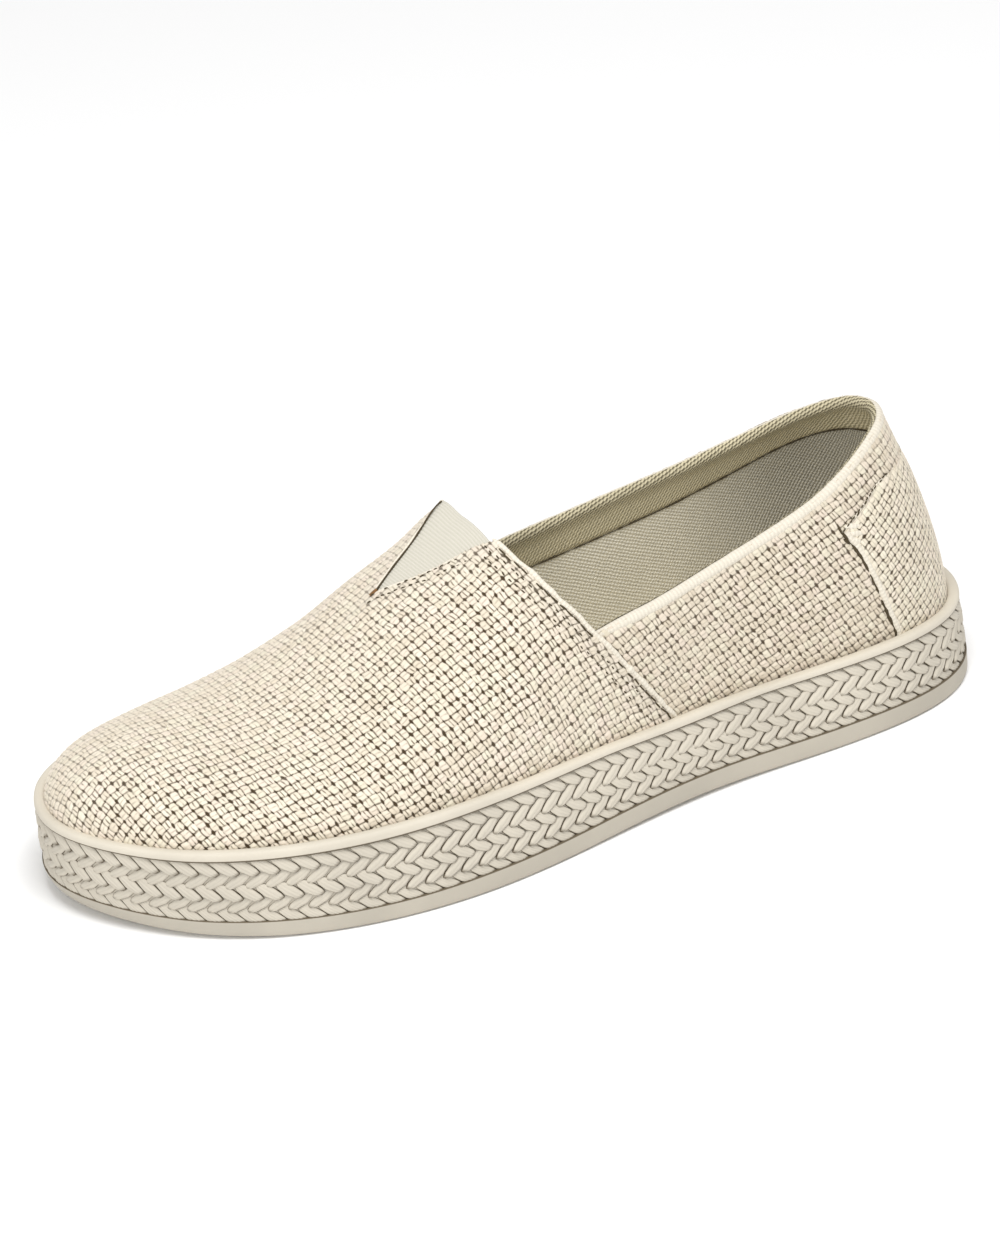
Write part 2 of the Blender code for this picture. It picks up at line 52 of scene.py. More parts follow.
# The shoe's own sizes: x from the heel, y to the outer side, z up, in millimetres.
# A station is a share of the length.
last = {
    "length": 289.0,
    "width": 102.0,
    "instep": 90.0,
    "heel": 85.0,
    "floor": 14.0,        # where the footbed lies
    "inset": 3.0,        # the upper's foot, in from the outline
    "insoleInset": 5.4,
    "insoleHeight": 4.0,
    # station, outer, inner
    "outline": (
        (0.037, 0.240, 0.221), (0.151, 0.353, 0.313), (0.324, 0.367, 0.277), (0.480, 0.428, 0.317),
        (0.636, 0.500, 0.437), (0.774, 0.468, 0.501), (0.888, 0.335, 0.455), (0.965, 0.134, 0.351),
    ),
    "toe": (1.0, -0.119),
    # station, shift to the inner side, height over the instep
    "ridge": (
        (-0.020, 0.000, 1.110), (0.342, -0.005, 1.130), (0.542, -0.010, 0.974), (0.591, -0.026, 0.868),
        (0.643, -0.044, 0.773), (0.688, -0.058, 0.680), (0.757, -0.074, 0.563), (0.812, -0.080, 0.517),
        (0.861, -0.082, 0.503), (0.947, -0.082, 0.497), (1.006, -0.082, 0.488),
    ),
    "ridgeEnd": 0.870,
    "ridgeEase": 0.048,
    # station, outer across, outer up, inner across, inner up
    "powers": (
        (0.54, 2.10, 2.29, 2.65, 2.42),
        (0.70, 2.16, 2.16, 1.94, 2.04),
        (0.86, 2.50, 2.25, 2.06, 2.26),
    ),
    "skirt": 22.0,        # the wall stands straight below this
    "skirtShare": 0.10,
    # how far the wall leans in at three heights: station, outer low, middle, high, then inner
    "leanHeights": (14.0, 27.0, 55.0, 82.0),
    "lean": (
        (0.000, 3.7, 10.2, 20.0, 3.7, 10.2, 20.0),
        (0.151, 3.5, 6.3, 16.5, 3.5, 6.3, 16.5),
        (0.342, 3.6, 6.8, 12.5, 3.8, 6.3, 11.3),
        (1.000, 3.6, 6.8, 12.5, 3.8, 6.3, 11.3),
    ),
    "leanTop": 100.0,
    "quarterEnd": 0.26,
    "vampStart": 0.41,
    # station, outer, inner height over the heel
    "collar": (
        (0.065, 1.000, 1.000), (0.090, 0.982, 0.976), (0.203, 0.851, 0.875), (0.324, 0.755, 0.815),
        (0.411, 0.712, 0.760), (0.487, 0.695, 0.718), (0.560, 0.690, 0.710),
    ),
    "vampFoot": (0.392, 26.0),        # where the vamp's back edge meets the rim: station, height
    "throat": 0.538,
    "apex": 0.643,        # the notch's point
    "goreHalf": 14.6,
    "notchGap": {1: 1.2, -1: 0.6},        # the notch's folded edges are drawn back this far
    "flare": ((0.00, 1.9), (0.41, 2.7), (0.71, 1.3), (1.00, -0.7)),        # of the sole's foot, by station
    "toeSpring": (0.76, 2.4),
    "arch": (0.21, 0.58, 0.9),
    "toeRoll": (0.84, 2.6),
    "toeTrim": (0.90, 1.0),
}


def tableCurve(rows, column, scale=1.0, along=last["length"]):
    # A smooth monotone curve through one column of a table, whose first column is in shares of along.
    at = np.array([row[0] for row in rows], float)
    value = np.array([row[column] for row in rows], float) * scale
    run = np.diff(at)
    rise = np.diff(value) / run
    slope = np.concatenate([rise[:1], np.zeros(len(rise) - 1), rise[-1:]])
    for i in range(1, len(rise)):
        if rise[i - 1] * rise[i] > 0:
            before = 2 * run[i] + run[i - 1]
            after = run[i] + 2 * run[i - 1]
            slope[i] = (before + after) / (before / rise[i - 1] + after / rise[i])

    def curve(x):
        share = np.clip(x / along, at[0], at[-1])
        i = np.clip(np.searchsorted(at, share) - 1, 0, len(run) - 1)
        t = (share - at[i]) / run[i]
        leave = t * (1 - t) ** 2 * run[i] * slope[i]
        arrive = t * t * (t - 1) * run[i] * slope[i + 1]
        return value[i] + (value[i + 1] - value[i]) * (t * t * (3 - 2 * t)) + leave + arrive

    return curve


def closedSpline(points, count):
    # Even points on a smooth closed curve through the knots, and its headings there.
    knots = np.array(points, float)
    size = len(knots)
    ahead = np.roll(knots, -1, axis=0)
    chord = np.linalg.norm(ahead - knots, axis=1)
    slope = (ahead - knots) / chord[:, None]
    matrix = np.zeros((size, size))
    for i in range(size):
        matrix[i, i - 1] += chord[i - 1]
        matrix[i, i] += 2 * (chord[i - 1] + chord[i])
        matrix[i, (i + 1) % size] += chord[i]
    bend = np.linalg.solve(matrix, 6 * (slope - np.roll(slope, 1, axis=0)))
    nextBend = np.roll(bend, -1, axis=0)
    along = np.linspace(0, chord.sum(), count, endpoint=False)
    starts = np.concatenate([[0], np.cumsum(chord)])
    i = np.searchsorted(starts, along, side="right") - 1
    h = chord[i][:, None]
    b = (along - starts[i])[:, None]
    a = h - b
    place = (bend[i] * a**3 + nextBend[i] * b**3) / (6 * h)
    place = place + (knots[i] / h - bend[i] * h / 6) * a + (ahead[i] / h - nextBend[i] * h / 6) * b
    heading = (nextBend[i] * b**2 - bend[i] * a**2) / (2 * h) + slope[i] - (nextBend[i] - bend[i]) * h / 6
    return place, heading / np.linalg.norm(heading, axis=1)[:, None]


def outlineHalves(samples=720):
    # The outline from heel to toe on each side: points, outward normals, shares of its length.
    outer = [(row[0], row[1]) for row in last["outline"]]
    inner = [(row[0], -row[2]) for row in reversed(last["outline"])]
    knots = [(0.0, 0.0)] + outer + [last["toe"]] + inner
    points, heading = closedSpline(np.array(knots) * (last["length"], last["width"]), samples)
    normals = np.stack([-heading[:, 1], heading[:, 0]], axis=1)
    toe = int(np.argmax(points[:, 0]))
    heel = int(np.argmin(points[:, 0])) % samples
    heel -= samples if heel > samples // 2 else 0
    found = {}
    for side, order in ((1, np.arange(heel, toe + 1)), (-1, np.arange(heel + samples, toe - 1, -1))):
        run = distances(points[order % samples])
        found[side] = (points[order % samples], normals[order % samples], run / run[-1])
    return found


def distances(points):
    # How far along the line each of its points is.
    return np.concatenate([[0], np.cumsum(np.linalg.norm(np.diff(points, axis=0), axis=1))])


halves = outlineHalves()
ridgeShift = tableCurve(last["ridge"], 1, last["width"])
ridgeHeight = tableCurve(last["ridge"], 2, last["instep"])
flare = tableCurve(last["flare"], 1)
collarHeight = {side: tableCurve(last["collar"], c, last["heel"]) for side, c in ((1, 1), (-1, 2))}
powerCurves = {side: [tableCurve(last["powers"], c) for c in (a, a + 1)] for side, a in ((1, 1), (-1, 3))}
leanCurves = {side: [tableCurve(last["lean"], c) for c in (a, a + 1, a + 2)] for side, a in ((1, 1), (-1, 4))}
throatX = last["throat"] * last["length"]
apexX = last["apex"] * last["length"]
vampFootX = last["vampFoot"][0] * last["length"]
vampFootZ = last["vampFoot"][1]


def smoothStep(value, low, high):
    t = np.clip((np.asarray(value, float) - low) / (high - low), 0, 1)
    return t * t * (3 - 2 * t)


def unit(vectors):
    vectors = np.asarray(vectors, float)
    return vectors / np.maximum(np.linalg.norm(vectors, axis=-1, keepdims=True), 1e-12)


def outlinePoint(u, side, offset=0.0):
    path, normals, share = halves[side]
    return [np.interp(u, share, path[:, i]) + offset * np.interp(u, share, normals[:, i]) for i in (0, 1)]


def shareAt(x, side):
    path, normals, share = halves[side]
    return np.interp(x, path[:, 0] - last["inset"] * normals[:, 0], share)


def groundLift(x):
    station = np.asarray(x, float) / last["length"]
    start, spring = last["toeSpring"]
    low, high, raised = last["arch"]
    lifted = spring * np.clip((station - start) / (1 - start), 0, None) ** 2
    return lifted + raised * np.sin(np.pi * np.clip((station - low) / (high - low), 0, 1)) ** 2


def quarterForm(u, height, side):
    # The wall round heel and waist, by height: the outline, leaning in as it rises.
    x, _ = outlinePoint(u, side)
    level = np.minimum(height, last["leanTop"])
    insets = [last["inset"]] + [curve(x) for curve in leanCurves[side]]
    inset = 0
    for i, own in enumerate(last["leanHeights"]):
        weight = 1
        for other in last["leanHeights"]:
            if other != own:
                weight = weight * (level - other) / (own - other)
        inset = inset + weight * insets[i]
    return np.stack(np.broadcast_arrays(*outlinePoint(u, side, -inset), height), axis=-1)


def upperForm(u, w, side):
    # The upper's outer face: u runs from heel to toe, w from the sole up to the ridge.
    u, w = np.broadcast_arrays(np.asarray(u, float), np.asarray(w, float))
    footX, footY = outlinePoint(u, side, -last["inset"])
    across, climbing = (curve(footX) for curve in powerCurves[side])
    lift = groundLift(footX)
    skirt = np.clip(w / last["skirtShare"], 0, 1)
    footZ = last["floor"] + (last["skirt"] - last["floor"]) * skirt + lift
    arc = np.clip((w - last["skirtShare"]) / (1 - last["skirtShare"]), 0, 1) * np.pi / 2
    end = last["ridgeEnd"] * last["length"]
    ease = last["ridgeEase"] * last["length"]
    topX = end - ease * np.log1p(np.exp((end - footX) / ease))
    topY = ridgeShift(topX)
    run = np.clip(np.cos(arc), 0, 1) ** (2 / across)
    climb = np.sin(arc) ** (2 / climbing)
    x = topX + (footX - topX) * run
    y = topY + (footY - topY) * run
    z = footZ + (ridgeHeight(x) - last["skirt"] - lift) * climb
    quarter = quarterForm(u, footZ + (last["leanTop"] - last["skirt"]) * climb, side)
    station = outlinePoint(u, side)[0] / last["length"]
    blend = smoothStep(station, last["quarterEnd"], last["vampStart"])[..., None]
    return quarter + (np.stack([x, y, z], axis=-1) - quarter) * blend


def solve(test, shape=(), low=0.0, high=1.0):
    # The value between low and high up to which the test stays true.
    low, high = np.full(shape, low, float), np.full(shape, high, float)
    for _ in range(36):
        middle = (low + high) / 2
        held = test(middle)
        low = np.where(held, middle, low)
        high = np.where(held, high, middle)
    return low


def notchHalf(x):
    # Half the open notch's width; below nought past its point.
    return last["goreHalf"] * np.minimum((apexX - x) / (apexX - throatX), 1)


def notchEdge(x, side):
    return notchHalf(x) + last["notchGap"][side] * np.clip((apexX - x) / 10.0, 0, 1)


def acrossLevel(u, x, reach, side):
    # The w at which the section is this far across from the ridge.
    middle = ridgeShift(x)
    return solve(lambda w: (upperForm(u, w, side)[..., 1] - middle) * side > reach, np.shape(u))


def levelAt(u, height, side):
    # The w at which a column reaches this height.
    return solve(lambda w: upperForm(u, w, side)[..., 2] < height, np.shape(u))


def notchPoint(x, reach, side):
    u = shareAt(x, side)
    return upperForm(u, acrossLevel(u, x, reach, side), side)


throatHeight = {side: notchPoint(throatX, last["goreHalf"], side)[2] for side in sides}


def vampEdgeHeight(x, side):
    return vampFootZ + (throatHeight[side] - vampFootZ) / (throatX - vampFootX) * (x - vampFootX)


def collarEnd(side):
    # x of the low point where the collar meets the vamp's back edge.
    return float(solve(lambda x: collarHeight[side](x) > vampEdgeHeight(x, side), (), vampFootX, throatX))


def planCentre():
    # The frame's origin in the shoe's own sizes, from the insole's outline and its box.
    rims = [np.stack(outlinePoint(np.linspace(0, 1, 400), s, -last["insoleInset"]), axis=-1) for s in sides]
    rims = np.concatenate(rims)
    low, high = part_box("insole")
    middle = (rims.min(axis=0) + rims.max(axis=0)) / 2
    return np.array([middle[0] - (low.x + high.x) / 2 / mm, middle[1] - (low.y + high.y) / 2 / mm, 0])


centre = planCentre()

# The eye's direction and distance from the shoe, and the roll.
cameraSet = {
    "azimuth": 28.396,
    "elevation": 28.129,
    "roll": -3.413,
    "distance": 2.07393,
    "target": (0.000154, -0.00031, 0.040),
    "lens": 209.2,
    "shift": (-0.011, 0.0216),
}


def makeCamera():
    azimuth, elevation, roll = (math.radians(cameraSet[key]) for key in ("azimuth", "elevation", "roll"))
    level = math.cos(elevation)
    back = Vector((math.sin(azimuth) * level, math.cos(azimuth) * level, math.sin(elevation)))
    camera = bpy.data.objects.new("camera", bpy.data.cameras.new("camera"))
    bpy.context.scene.collection.objects.link(camera)
    turn = (-back).to_track_quat("-Z", "Y").to_matrix()
    matrix = turn.to_4x4()
    right = turn @ Vector((math.cos(roll), math.sin(roll), 0))
    top = turn @ Vector((-math.sin(roll), math.cos(roll), 0))
    for row in range(3):
        matrix[row][0], matrix[row][1], matrix[row][2] = right[row], top[row], back[row]
    matrix.translation = Vector(cameraSet["target"]) + back * cameraSet["distance"]
    camera.matrix_world = matrix
    camera.data.sensor_width = 36
    camera.data.lens = cameraSet["lens"]
    camera.data.shift_x, camera.data.shift_y = cameraSet["shift"]
    camera.data.clip_start = 0.05
    camera.data.clip_end = 30
    bpy.context.scene.camera = camera


# Nodes shared by shader and geometry trees.
class Flow:
    # A node's output to reckon with; each step adds a node to its tree.
    def __init__(self, socket):
        self.socket = socket
        self.tree = socket.id_data

    def run(self, operation, *values):
        return nodeOut(self.tree, "ShaderNodeMath", (self, *values), operation=operation)

    def __add__(self, other):
        return self.run("ADD", other)

    def __sub__(self, other):
        return self.run("SUBTRACT", other)

    def __mul__(self, other):
        return self.run("MULTIPLY", other)

    def __truediv__(self, other):
        return self.run("DIVIDE", other)

    def times(self, factor, plus):
        return self.run("MULTIPLY_ADD", factor, plus)

    def ramp(self, low, high, start=0.0, end=1.0):
        inputs = (self, low, high, start, end)
        return nodeOut(self.tree, "ShaderNodeMapRange", inputs, interpolation_type="SMOOTHSTEP")

    def wave(self):
        # A sine of this many turns, from 0 to 1.
        return (self * (2 * math.pi)).run("SINE").times(0.5, 0.5)


def wire(socket, value):
    if isinstance(value, Flow):
        value.tree.links.new(value.socket, socket)
    elif value is not None:
        socket.default_value = value


def addNode(tree, kind, inputs=(), **settings):
    node = tree.nodes.new(kind)
    for name, value in settings.items():
        setattr(node, name, value)
    for key, value in inputs.items() if isinstance(inputs, dict) else enumerate(inputs):
        wire(node.inputs[key], value)
    return node


def nodeOut(tree, kind, inputs=(), output=0, **settings):
    return Flow(addNode(tree, kind, inputs, **settings).outputs[output])


def blendOf(share, first, second):
    # first where share is 0, second where it is 1.
    step = second - first
    return step.times(share, first) if isinstance(step, Flow) else share.times(step, first)


def joinXYZ(x, *others):
    return nodeOut(x.tree, "ShaderNodeCombineXYZ", (x, *others))


def splitXYZ(vector):
    return [Flow(part) for part in addNode(vector.tree, "ShaderNodeSeparateXYZ", (vector,)).outputs]


def noiseAt(place, scale, detail=1.0, output=0):
    inputs = {"Vector": place, "Scale": scale, "Detail": detail}
    return nodeOut(place.tree, "ShaderNodeTexNoise", inputs, output)


def diceAt(place, output="Value"):
    return nodeOut(place.tree, "ShaderNodeTexWhiteNoise", {"Vector": place}, output, noise_dimensions="3D")


weave = {
    "split": 0.12,        # how deep the line between two lengthwise threads is
    "splitCross": 0.34,        # and between two crosswise ones
    "crown": 0.5,        # power of a float's rounding along it
    "bulge": 0.3,        # and across it
    "drift": 0.46,        # how far the threads wander, in blocks
    "hole": (0.17, 0.285),        # half sizes of a hole between the blocks, in blocks; it is painted dark as shade
    "slit": (0.36, 0.09),        # and of the slit beside it
    "ply": 0.045,        # height of the plies' twist
    # seed, and strength of the painted shade lines at a float's ends, lengthwise and crosswise
    "ends": (9.4, 0.95, 1.0),
    "flanks": (14.2, 0.70, 0.85),        # along its sides
    "middles": (21.7, 0.40, 1.0),        # and between its two threads
}


def loosened(u, v):
    # Threads wander a little, so that no two blocks are alike.
    drift = splitXYZ(noiseAt(joinXYZ(u, v, 3.1), 0.62, output=1))
    return [thread + part.times(weave["drift"], -0.5 * weave["drift"]) for thread, part in zip((u, v), drift)]


def weaveHeight(u, v):
    # Basket weave: pairs of threads pass over pairs, and each block is one unit square.
    cellU, cellV = u.run("FLOOR"), v.run("FLOOR")
    shareU, shareV = u - cellU, v - cellV
    parity = (cellU + cellV).run("FLOORED_MODULO", 2.0)
    along = blendOf(parity, shareU, shareV)
    across = blendOf(parity, shareV, shareU)
    crown, bulge = ((span * math.pi).run("SINE").run("MAXIMUM", 0.0).run("POWER", weave[power])
                    for span, power in ((along, "crown"), (across, "bulge")))
    groove = (across - 0.5).run("ABSOLUTE").ramp(0.0, 0.16, 1.0, 0.0)
    depth = blendOf(parity, weave["split"], weave["splitCross"])
    body = crown * bulge * (groove * depth).times(-1.0, 1.0)
    return {"height": body, "cell": joinXYZ(cellU, cellV, 2.5), "parity": parity, "along": along,
            "across": across, "groove": groove}


def nearEnd(share, low, high):
    # 1 at the ends of a unit span, falling to 0 at high.
    return share.run("MINIMUM", share.times(-1.0, 1.0)).ramp(low, high, 1.0, 0.0)


def spot(du, dv, sizes, reach):
    du, dv = du / sizes[0], dv / sizes[1]
    return ((du * du + dv * dv).run("SQRT") / reach).ramp(0.6, 1.15, 1.0, 0.0)


def basketWeave(thread):
    # Thread holds the place on the cloth, in blocks, with lengthwise threads along x.
    u, v = loosened(*splitXYZ(thread)[:2])
    cloth = weaveHeight(u, v)
    cornerU, cornerV = u.run("ROUND"), v.run("ROUND")
    du, dv = u - cornerU, v - cornerV
    corner = joinXYZ(cornerU, cornerV, 0.5)
    slits = splitXYZ(diceAt(corner, "Color"))[1].ramp(0.3, 0.9, 0.0, 0.85)
    # Holes at the blocks' corners, painted dark as the shade inside them.
    hole = spot(du, dv, weave["hole"], diceAt(corner).times(0.85, 0.5))
    hole = hole.run("MAXIMUM", spot(du, dv, weave["slit"], 1.0) * slits)
    # Each thread keeps its own tone along its length.
    yarnU, yarnV = (u * 2.0).run("FLOOR"), (v * 2.0).run("FLOOR")
    yarn = joinXYZ(blendOf(cloth["parity"], yarnV, yarnU), cloth["parity"], 7.5)
    tone = diceAt(yarn).times(0.45, diceAt(cloth["cell"]) * 0.55)
    # Plies twist slightly across each thread.
    twist = cloth["along"].times(5.0, cloth["across"] * 4.0) * (2 * math.pi)
    height = hole.times(-0.5, twist.run("SINE").times(weave["ply"], cloth["height"]))
    # A float's ends dive under the pair beside them; painted shade lines darken its ends, its flanks and the
    # line between its two threads.
    lines = []
    for mask, key in (
        (nearEnd(cloth["along"], 0.04, 0.20), "ends"),
        (nearEnd(cloth["across"], 0.02, 0.15), "flanks"),
        (cloth["groove"], "middles"),
    ):
        seed, *shares = weave[key]
        uneven = noiseAt(joinXYZ(u, v, seed), 1.2).ramp(0.36, 0.58, 0.22, 1.0)
        lines.append(mask * uneven * blendOf(cloth["parity"], *shares))
    valleyShade = lines[0].run("MAXIMUM", lines[1]).run("MAXIMUM", lines[2])
    return height, hole, valleyShade, tone, splitXYZ(diceAt(cloth["cell"], "Color"))[1]


def twillCloth(run, *turns):
    # Run holds the place on the lining in millimetres, and in z which of the two sets of ribs
    # leads. The turns are those of the steep and the level ribs, a millimetre in x and y.
    lead = splitXYZ(run)[2]
    warp = noiseAt(run, 0.5, 2.0)
    waves = []
    for turn in turns:
        phase = nodeOut(run.tree, "ShaderNodeVectorMath", (run, turn), "Value", operation="DOT_PRODUCT")
        waves.append(warp.times(0.6, phase).wave())
    height = blendOf(lead.times(0.35, 0.25), *waves)
    height = blendOf(0.35, height, waves[0] * waves[1] * 1.6)
    return height, height.times(0.7, noiseAt(run, 1.6, 3.0) * 0.3), lead


def mottled(scale):
    # Slow stains and handling marks in Object coordinates.
    place = nodeOut(scale.tree, "ShaderNodeTexCoord", output="Object")
    return noiseAt(place, scale, 3.0), noiseAt(place, scale * 45.0, 2.0)


def newGroup(name, build, inputs, outputs):
    tree = bpy.data.node_groups.new(name, "ShaderNodeTree")
    for labels, place in ((inputs, "INPUT"), (outputs, "OUTPUT")):
        for label in labels:
            kind = "Float" if place == "OUTPUT" or label == "Scale" else "Vector"
            tree.interface.new_socket(name=label, in_out=place, socket_type="NodeSocket" + kind)
    start, end = tree.nodes.new("NodeGroupInput"), tree.nodes.new("NodeGroupOutput")
    for label, value in zip(outputs, build(*[Flow(start.outputs[label]) for label in inputs])):
        wire(end.inputs[label], value)
    return tree


groups = {
    "weave": newGroup("basketWeave", basketWeave, ["Thread"],
                      ["Height", "PinholeShade", "ValleyShade", "Tone", "Warmth"]),
    "twill": newGroup("twill", twillCloth, ["Run", "Steep", "Level"], ["Height", "Tone", "Lead"]),
    "mottle": newGroup("mottle", mottled, ["Scale"], ["Broad", "Fine"]),
}


def newMaterial(name, roughness, **constants):
    made = bpy.data.materials.new(name)
    made.use_nodes = True
    shader = made.node_tree.nodes["Principled BSDF"]
    for label, value in {"Roughness": roughness, **constants}.items():
        shader.inputs[label.replace("_", " ")].default_value = value
    return made, made.node_tree, shader


def useGroup(tree, name, **inputs):
    outputs = addNode(tree, "ShaderNodeGroup", inputs, node_tree=groups[name]).outputs
    return {output.name: Flow(output) for output in outputs}


def mixColour(share, *colours):
    # The first colour where share is 0, the second where it is 1.
    first, second = (colour if isinstance(colour, Flow) else (*colour, 1) for colour in colours)
    return nodeOut(share.tree, "ShaderNodeMix", {0: share, 6: first, 7: second}, 2, data_type="RGBA")


def dress(shader, colour, height=None, distance=0.0, strength=0.8):
    wire(shader.inputs["Base Color"], colour)
    if height is not None:
        inputs = {"Height": height, "Distance": distance, "Strength": strength}
        wire(shader.inputs["Normal"], nodeOut(height.tree, "ShaderNodeBump", inputs))


def attribute(tree, name, output="Fac"):
    return nodeOut(tree, "ShaderNodeAttribute", output=output, attribute_name=name)


# Linear colours of the finishes.
finish = {
    "canvasPale": (0.88, 0.825, 0.71),
    "canvasDeep": (0.72, 0.65, 0.53),
    "canvasRose": (0.87, 0.77, 0.69),
    "canvasOlive": (0.79, 0.76, 0.60),
    "canvasShade": (0.60, 0.55, 0.46),
    "pinholeShade": (0.046, 0.027, 0.009),
    "valleyShade": (0.085, 0.060, 0.028),
    "rubber": (0.79, 0.725, 0.605),
    "rubberCreaseShade": (0.10, 0.075, 0.042),
    "liningPale": (0.79, 0.75, 0.64),
    "liningDeep": (0.38, 0.35, 0.27),
    "elastic": (0.62, 0.585, 0.505),
    "elasticRibShade": (0.565, 0.545, 0.45),
    "seamShade": (0.045, 0.032, 0.012),
    "tack": (0.24, 0.11, 0.035),
}


def shaded(key, shade=1.0, tint=(1, 1, 1)):
    return tuple(shade * a * b for a, b in zip(tint, finish[key]))


def canvasMaterial(name, tint, margin, edgeDim, edgeFade, veil=-1.15):
    # Towards the piece's edge, over the margin, the cloth dims and the painted shade in its gaps fades by
    # these shares.
    made, tree, shader = newMaterial(name, 0.92, Sheen_Weight=0.15, Specular_IOR_Level=0.25)
    near = attribute(tree, "room").ramp(0.3 * margin, margin, 1.0, 0.0)
    # Seen along the cloth, its threads hide the gaps, so their painted shade fades.
    facing = nodeOut(tree, "ShaderNodeLayerWeight", {"Blend": 0.5}, "Facing")
    gaps = facing.times(veil, 1.12).run("MINIMUM", 1.0).run("MAXIMUM", 0.08) * near.times(-edgeFade, 1.0)
    cloth = useGroup(tree, "weave", Thread=attribute(tree, "thread", "Vector"))
    marks = useGroup(tree, "mottle", Scale=28.0)
    deep = shaded("canvasDeep", tint=tint)
    colour = mixColour(cloth["Tone"], deep, shaded("canvasPale", tint=tint))
    for share, over in (
        (cloth["Warmth"].ramp(0.6, 1.0, 0.0, 0.5), shaded("canvasRose", tint=tint)),
        (marks["Broad"].ramp(0.35, 0.7, 0.22, 0.0), deep),
        (cloth["Warmth"].ramp(0.0, 0.3, 0.35, 0.0), finish["canvasOlive"]),
        (near * edgeDim, finish["canvasShade"]),
        # Painted shade in the weave's crevices and holes.
        (cloth["ValleyShade"] * 0.88 * gaps, finish["valleyShade"]),
        (cloth["PinholeShade"] * 0.97 * gaps, finish["pinholeShade"]),
    ):
        colour = mixColour(share, colour, over)
    dress(shader, colour, marks["Fine"].times(0.12, cloth["Height"]), 0.00026)
    return made


def foldMaterial(name, bright, ribs):
    # Rolled or folded cloth, where the weave is drawn out into faint ribs, with painted shade between them.
    made, tree, shader = newMaterial(name, 0.9, Sheen_Weight=0.15, Specular_IOR_Level=0.25)
    marks = useGroup(tree, "mottle", Scale=60.0)
    turn = marks["Broad"].times(5.0, attribute(tree, "run") * (2 * math.pi / 1.25))
    rib = turn.run("SINE").times(0.5, 0.5)
    colour = mixColour(marks["Fine"] * 0.8, shaded("canvasPale", bright), shaded("canvasDeep", bright))
    colour = mixColour(rib.times(-1.0, 1.0) * ribs, colour, finish["valleyShade"])
    dress(shader, colour, rib.times(3 * ribs, marks["Fine"]), 0.00014)
    return made


def liningMaterial(name, steep, level, paintedLightFactors, tint=(1, 1, 1)):
    # Painted light and shade: the pale and the deep colour are scaled by these factors where the steep ribs
    # lead, then where the level ones do.
    made, tree, shader = newMaterial(name, 0.95, Specular_IOR_Level=0.2)
    run = attribute(tree, "cloth", "Vector")
    twill = useGroup(tree, "twill", Run=run, Steep=(*steep, 0.0), Level=(*level, 0.0))
    marks = useGroup(tree, "mottle", Scale=24.0)
    pale, deep = (mixColour(twill["Lead"], shaded(key, first, tint), shaded(key, second, tint))
                  for key, first, second in (("liningPale", *paintedLightFactors[::2]), ("liningDeep", *paintedLightFactors[1::2])))
    colour = mixColour(twill["Tone"].ramp(0.22, 0.58), deep, pale)
    dress(shader, mixColour(marks["Broad"].ramp(0.35, 0.7, 0.25, 0.0), colour, deep), twill["Height"], 0.0002)
    return made


def rubberMaterial(name, bright):
    # Moulded rubber, with painted shade down in the plait's lines and the grooves.
    made, tree, shader = newMaterial(name, 0.62, Specular_IOR_Level=0.35)
    marks = useGroup(tree, "mottle", Scale=35.0)
    dim, pale = (shaded("rubber", share * bright) for share in (0.90, 1))
    colour = mixColour(marks["Broad"].ramp(0.3, 0.7), dim, pale)
    colour = mixColour(attribute(tree, "crease").ramp(0.15, 1.0, 0.0, 0.95), colour, finish["rubberCreaseShade"])
    wire(shader.inputs["Roughness"], marks["Fine"].times(0.18, 0.52))
    dress(shader, colour, marks["Fine"], 0.00006, 0.6)
    return made


def elasticMaterial(name):
    made, tree, shader = newMaterial(name, 0.8, Sheen_Weight=0.2)
    across = splitXYZ(attribute(tree, "cloth", "Vector"))[1]
    knit = (across * (2 * math.pi / 0.42)).run("SINE").times(0.5, 0.5)
    rib = attribute(tree, "rib")
    # Painted shade in the troughs between the ribs and between the knit's lines.
    colour = mixColour(rib.ramp(0.1, 0.8), finish["elasticRibShade"], finish["elastic"])
    colour = mixColour(knit * 0.15, colour, finish["elasticRibShade"])
    dress(shader, colour, knit.times(0.3, rib), 0.0001, 0.7)
    return made


def seamMaterial(name, deep):
    # A dark line: painted shade along seams, folds and stitch gaps, or the tack's brown thread, mottled with
    # painted crevice shade.
    made, tree, shader = newMaterial(name, 0.9)
    marks = useGroup(tree, "mottle", Scale=70.0)
    dress(shader, mixColour(marks["Fine"].ramp(0.35, 0.65, 0.0, 0.6), deep, finish["valleyShade"]))
    return made


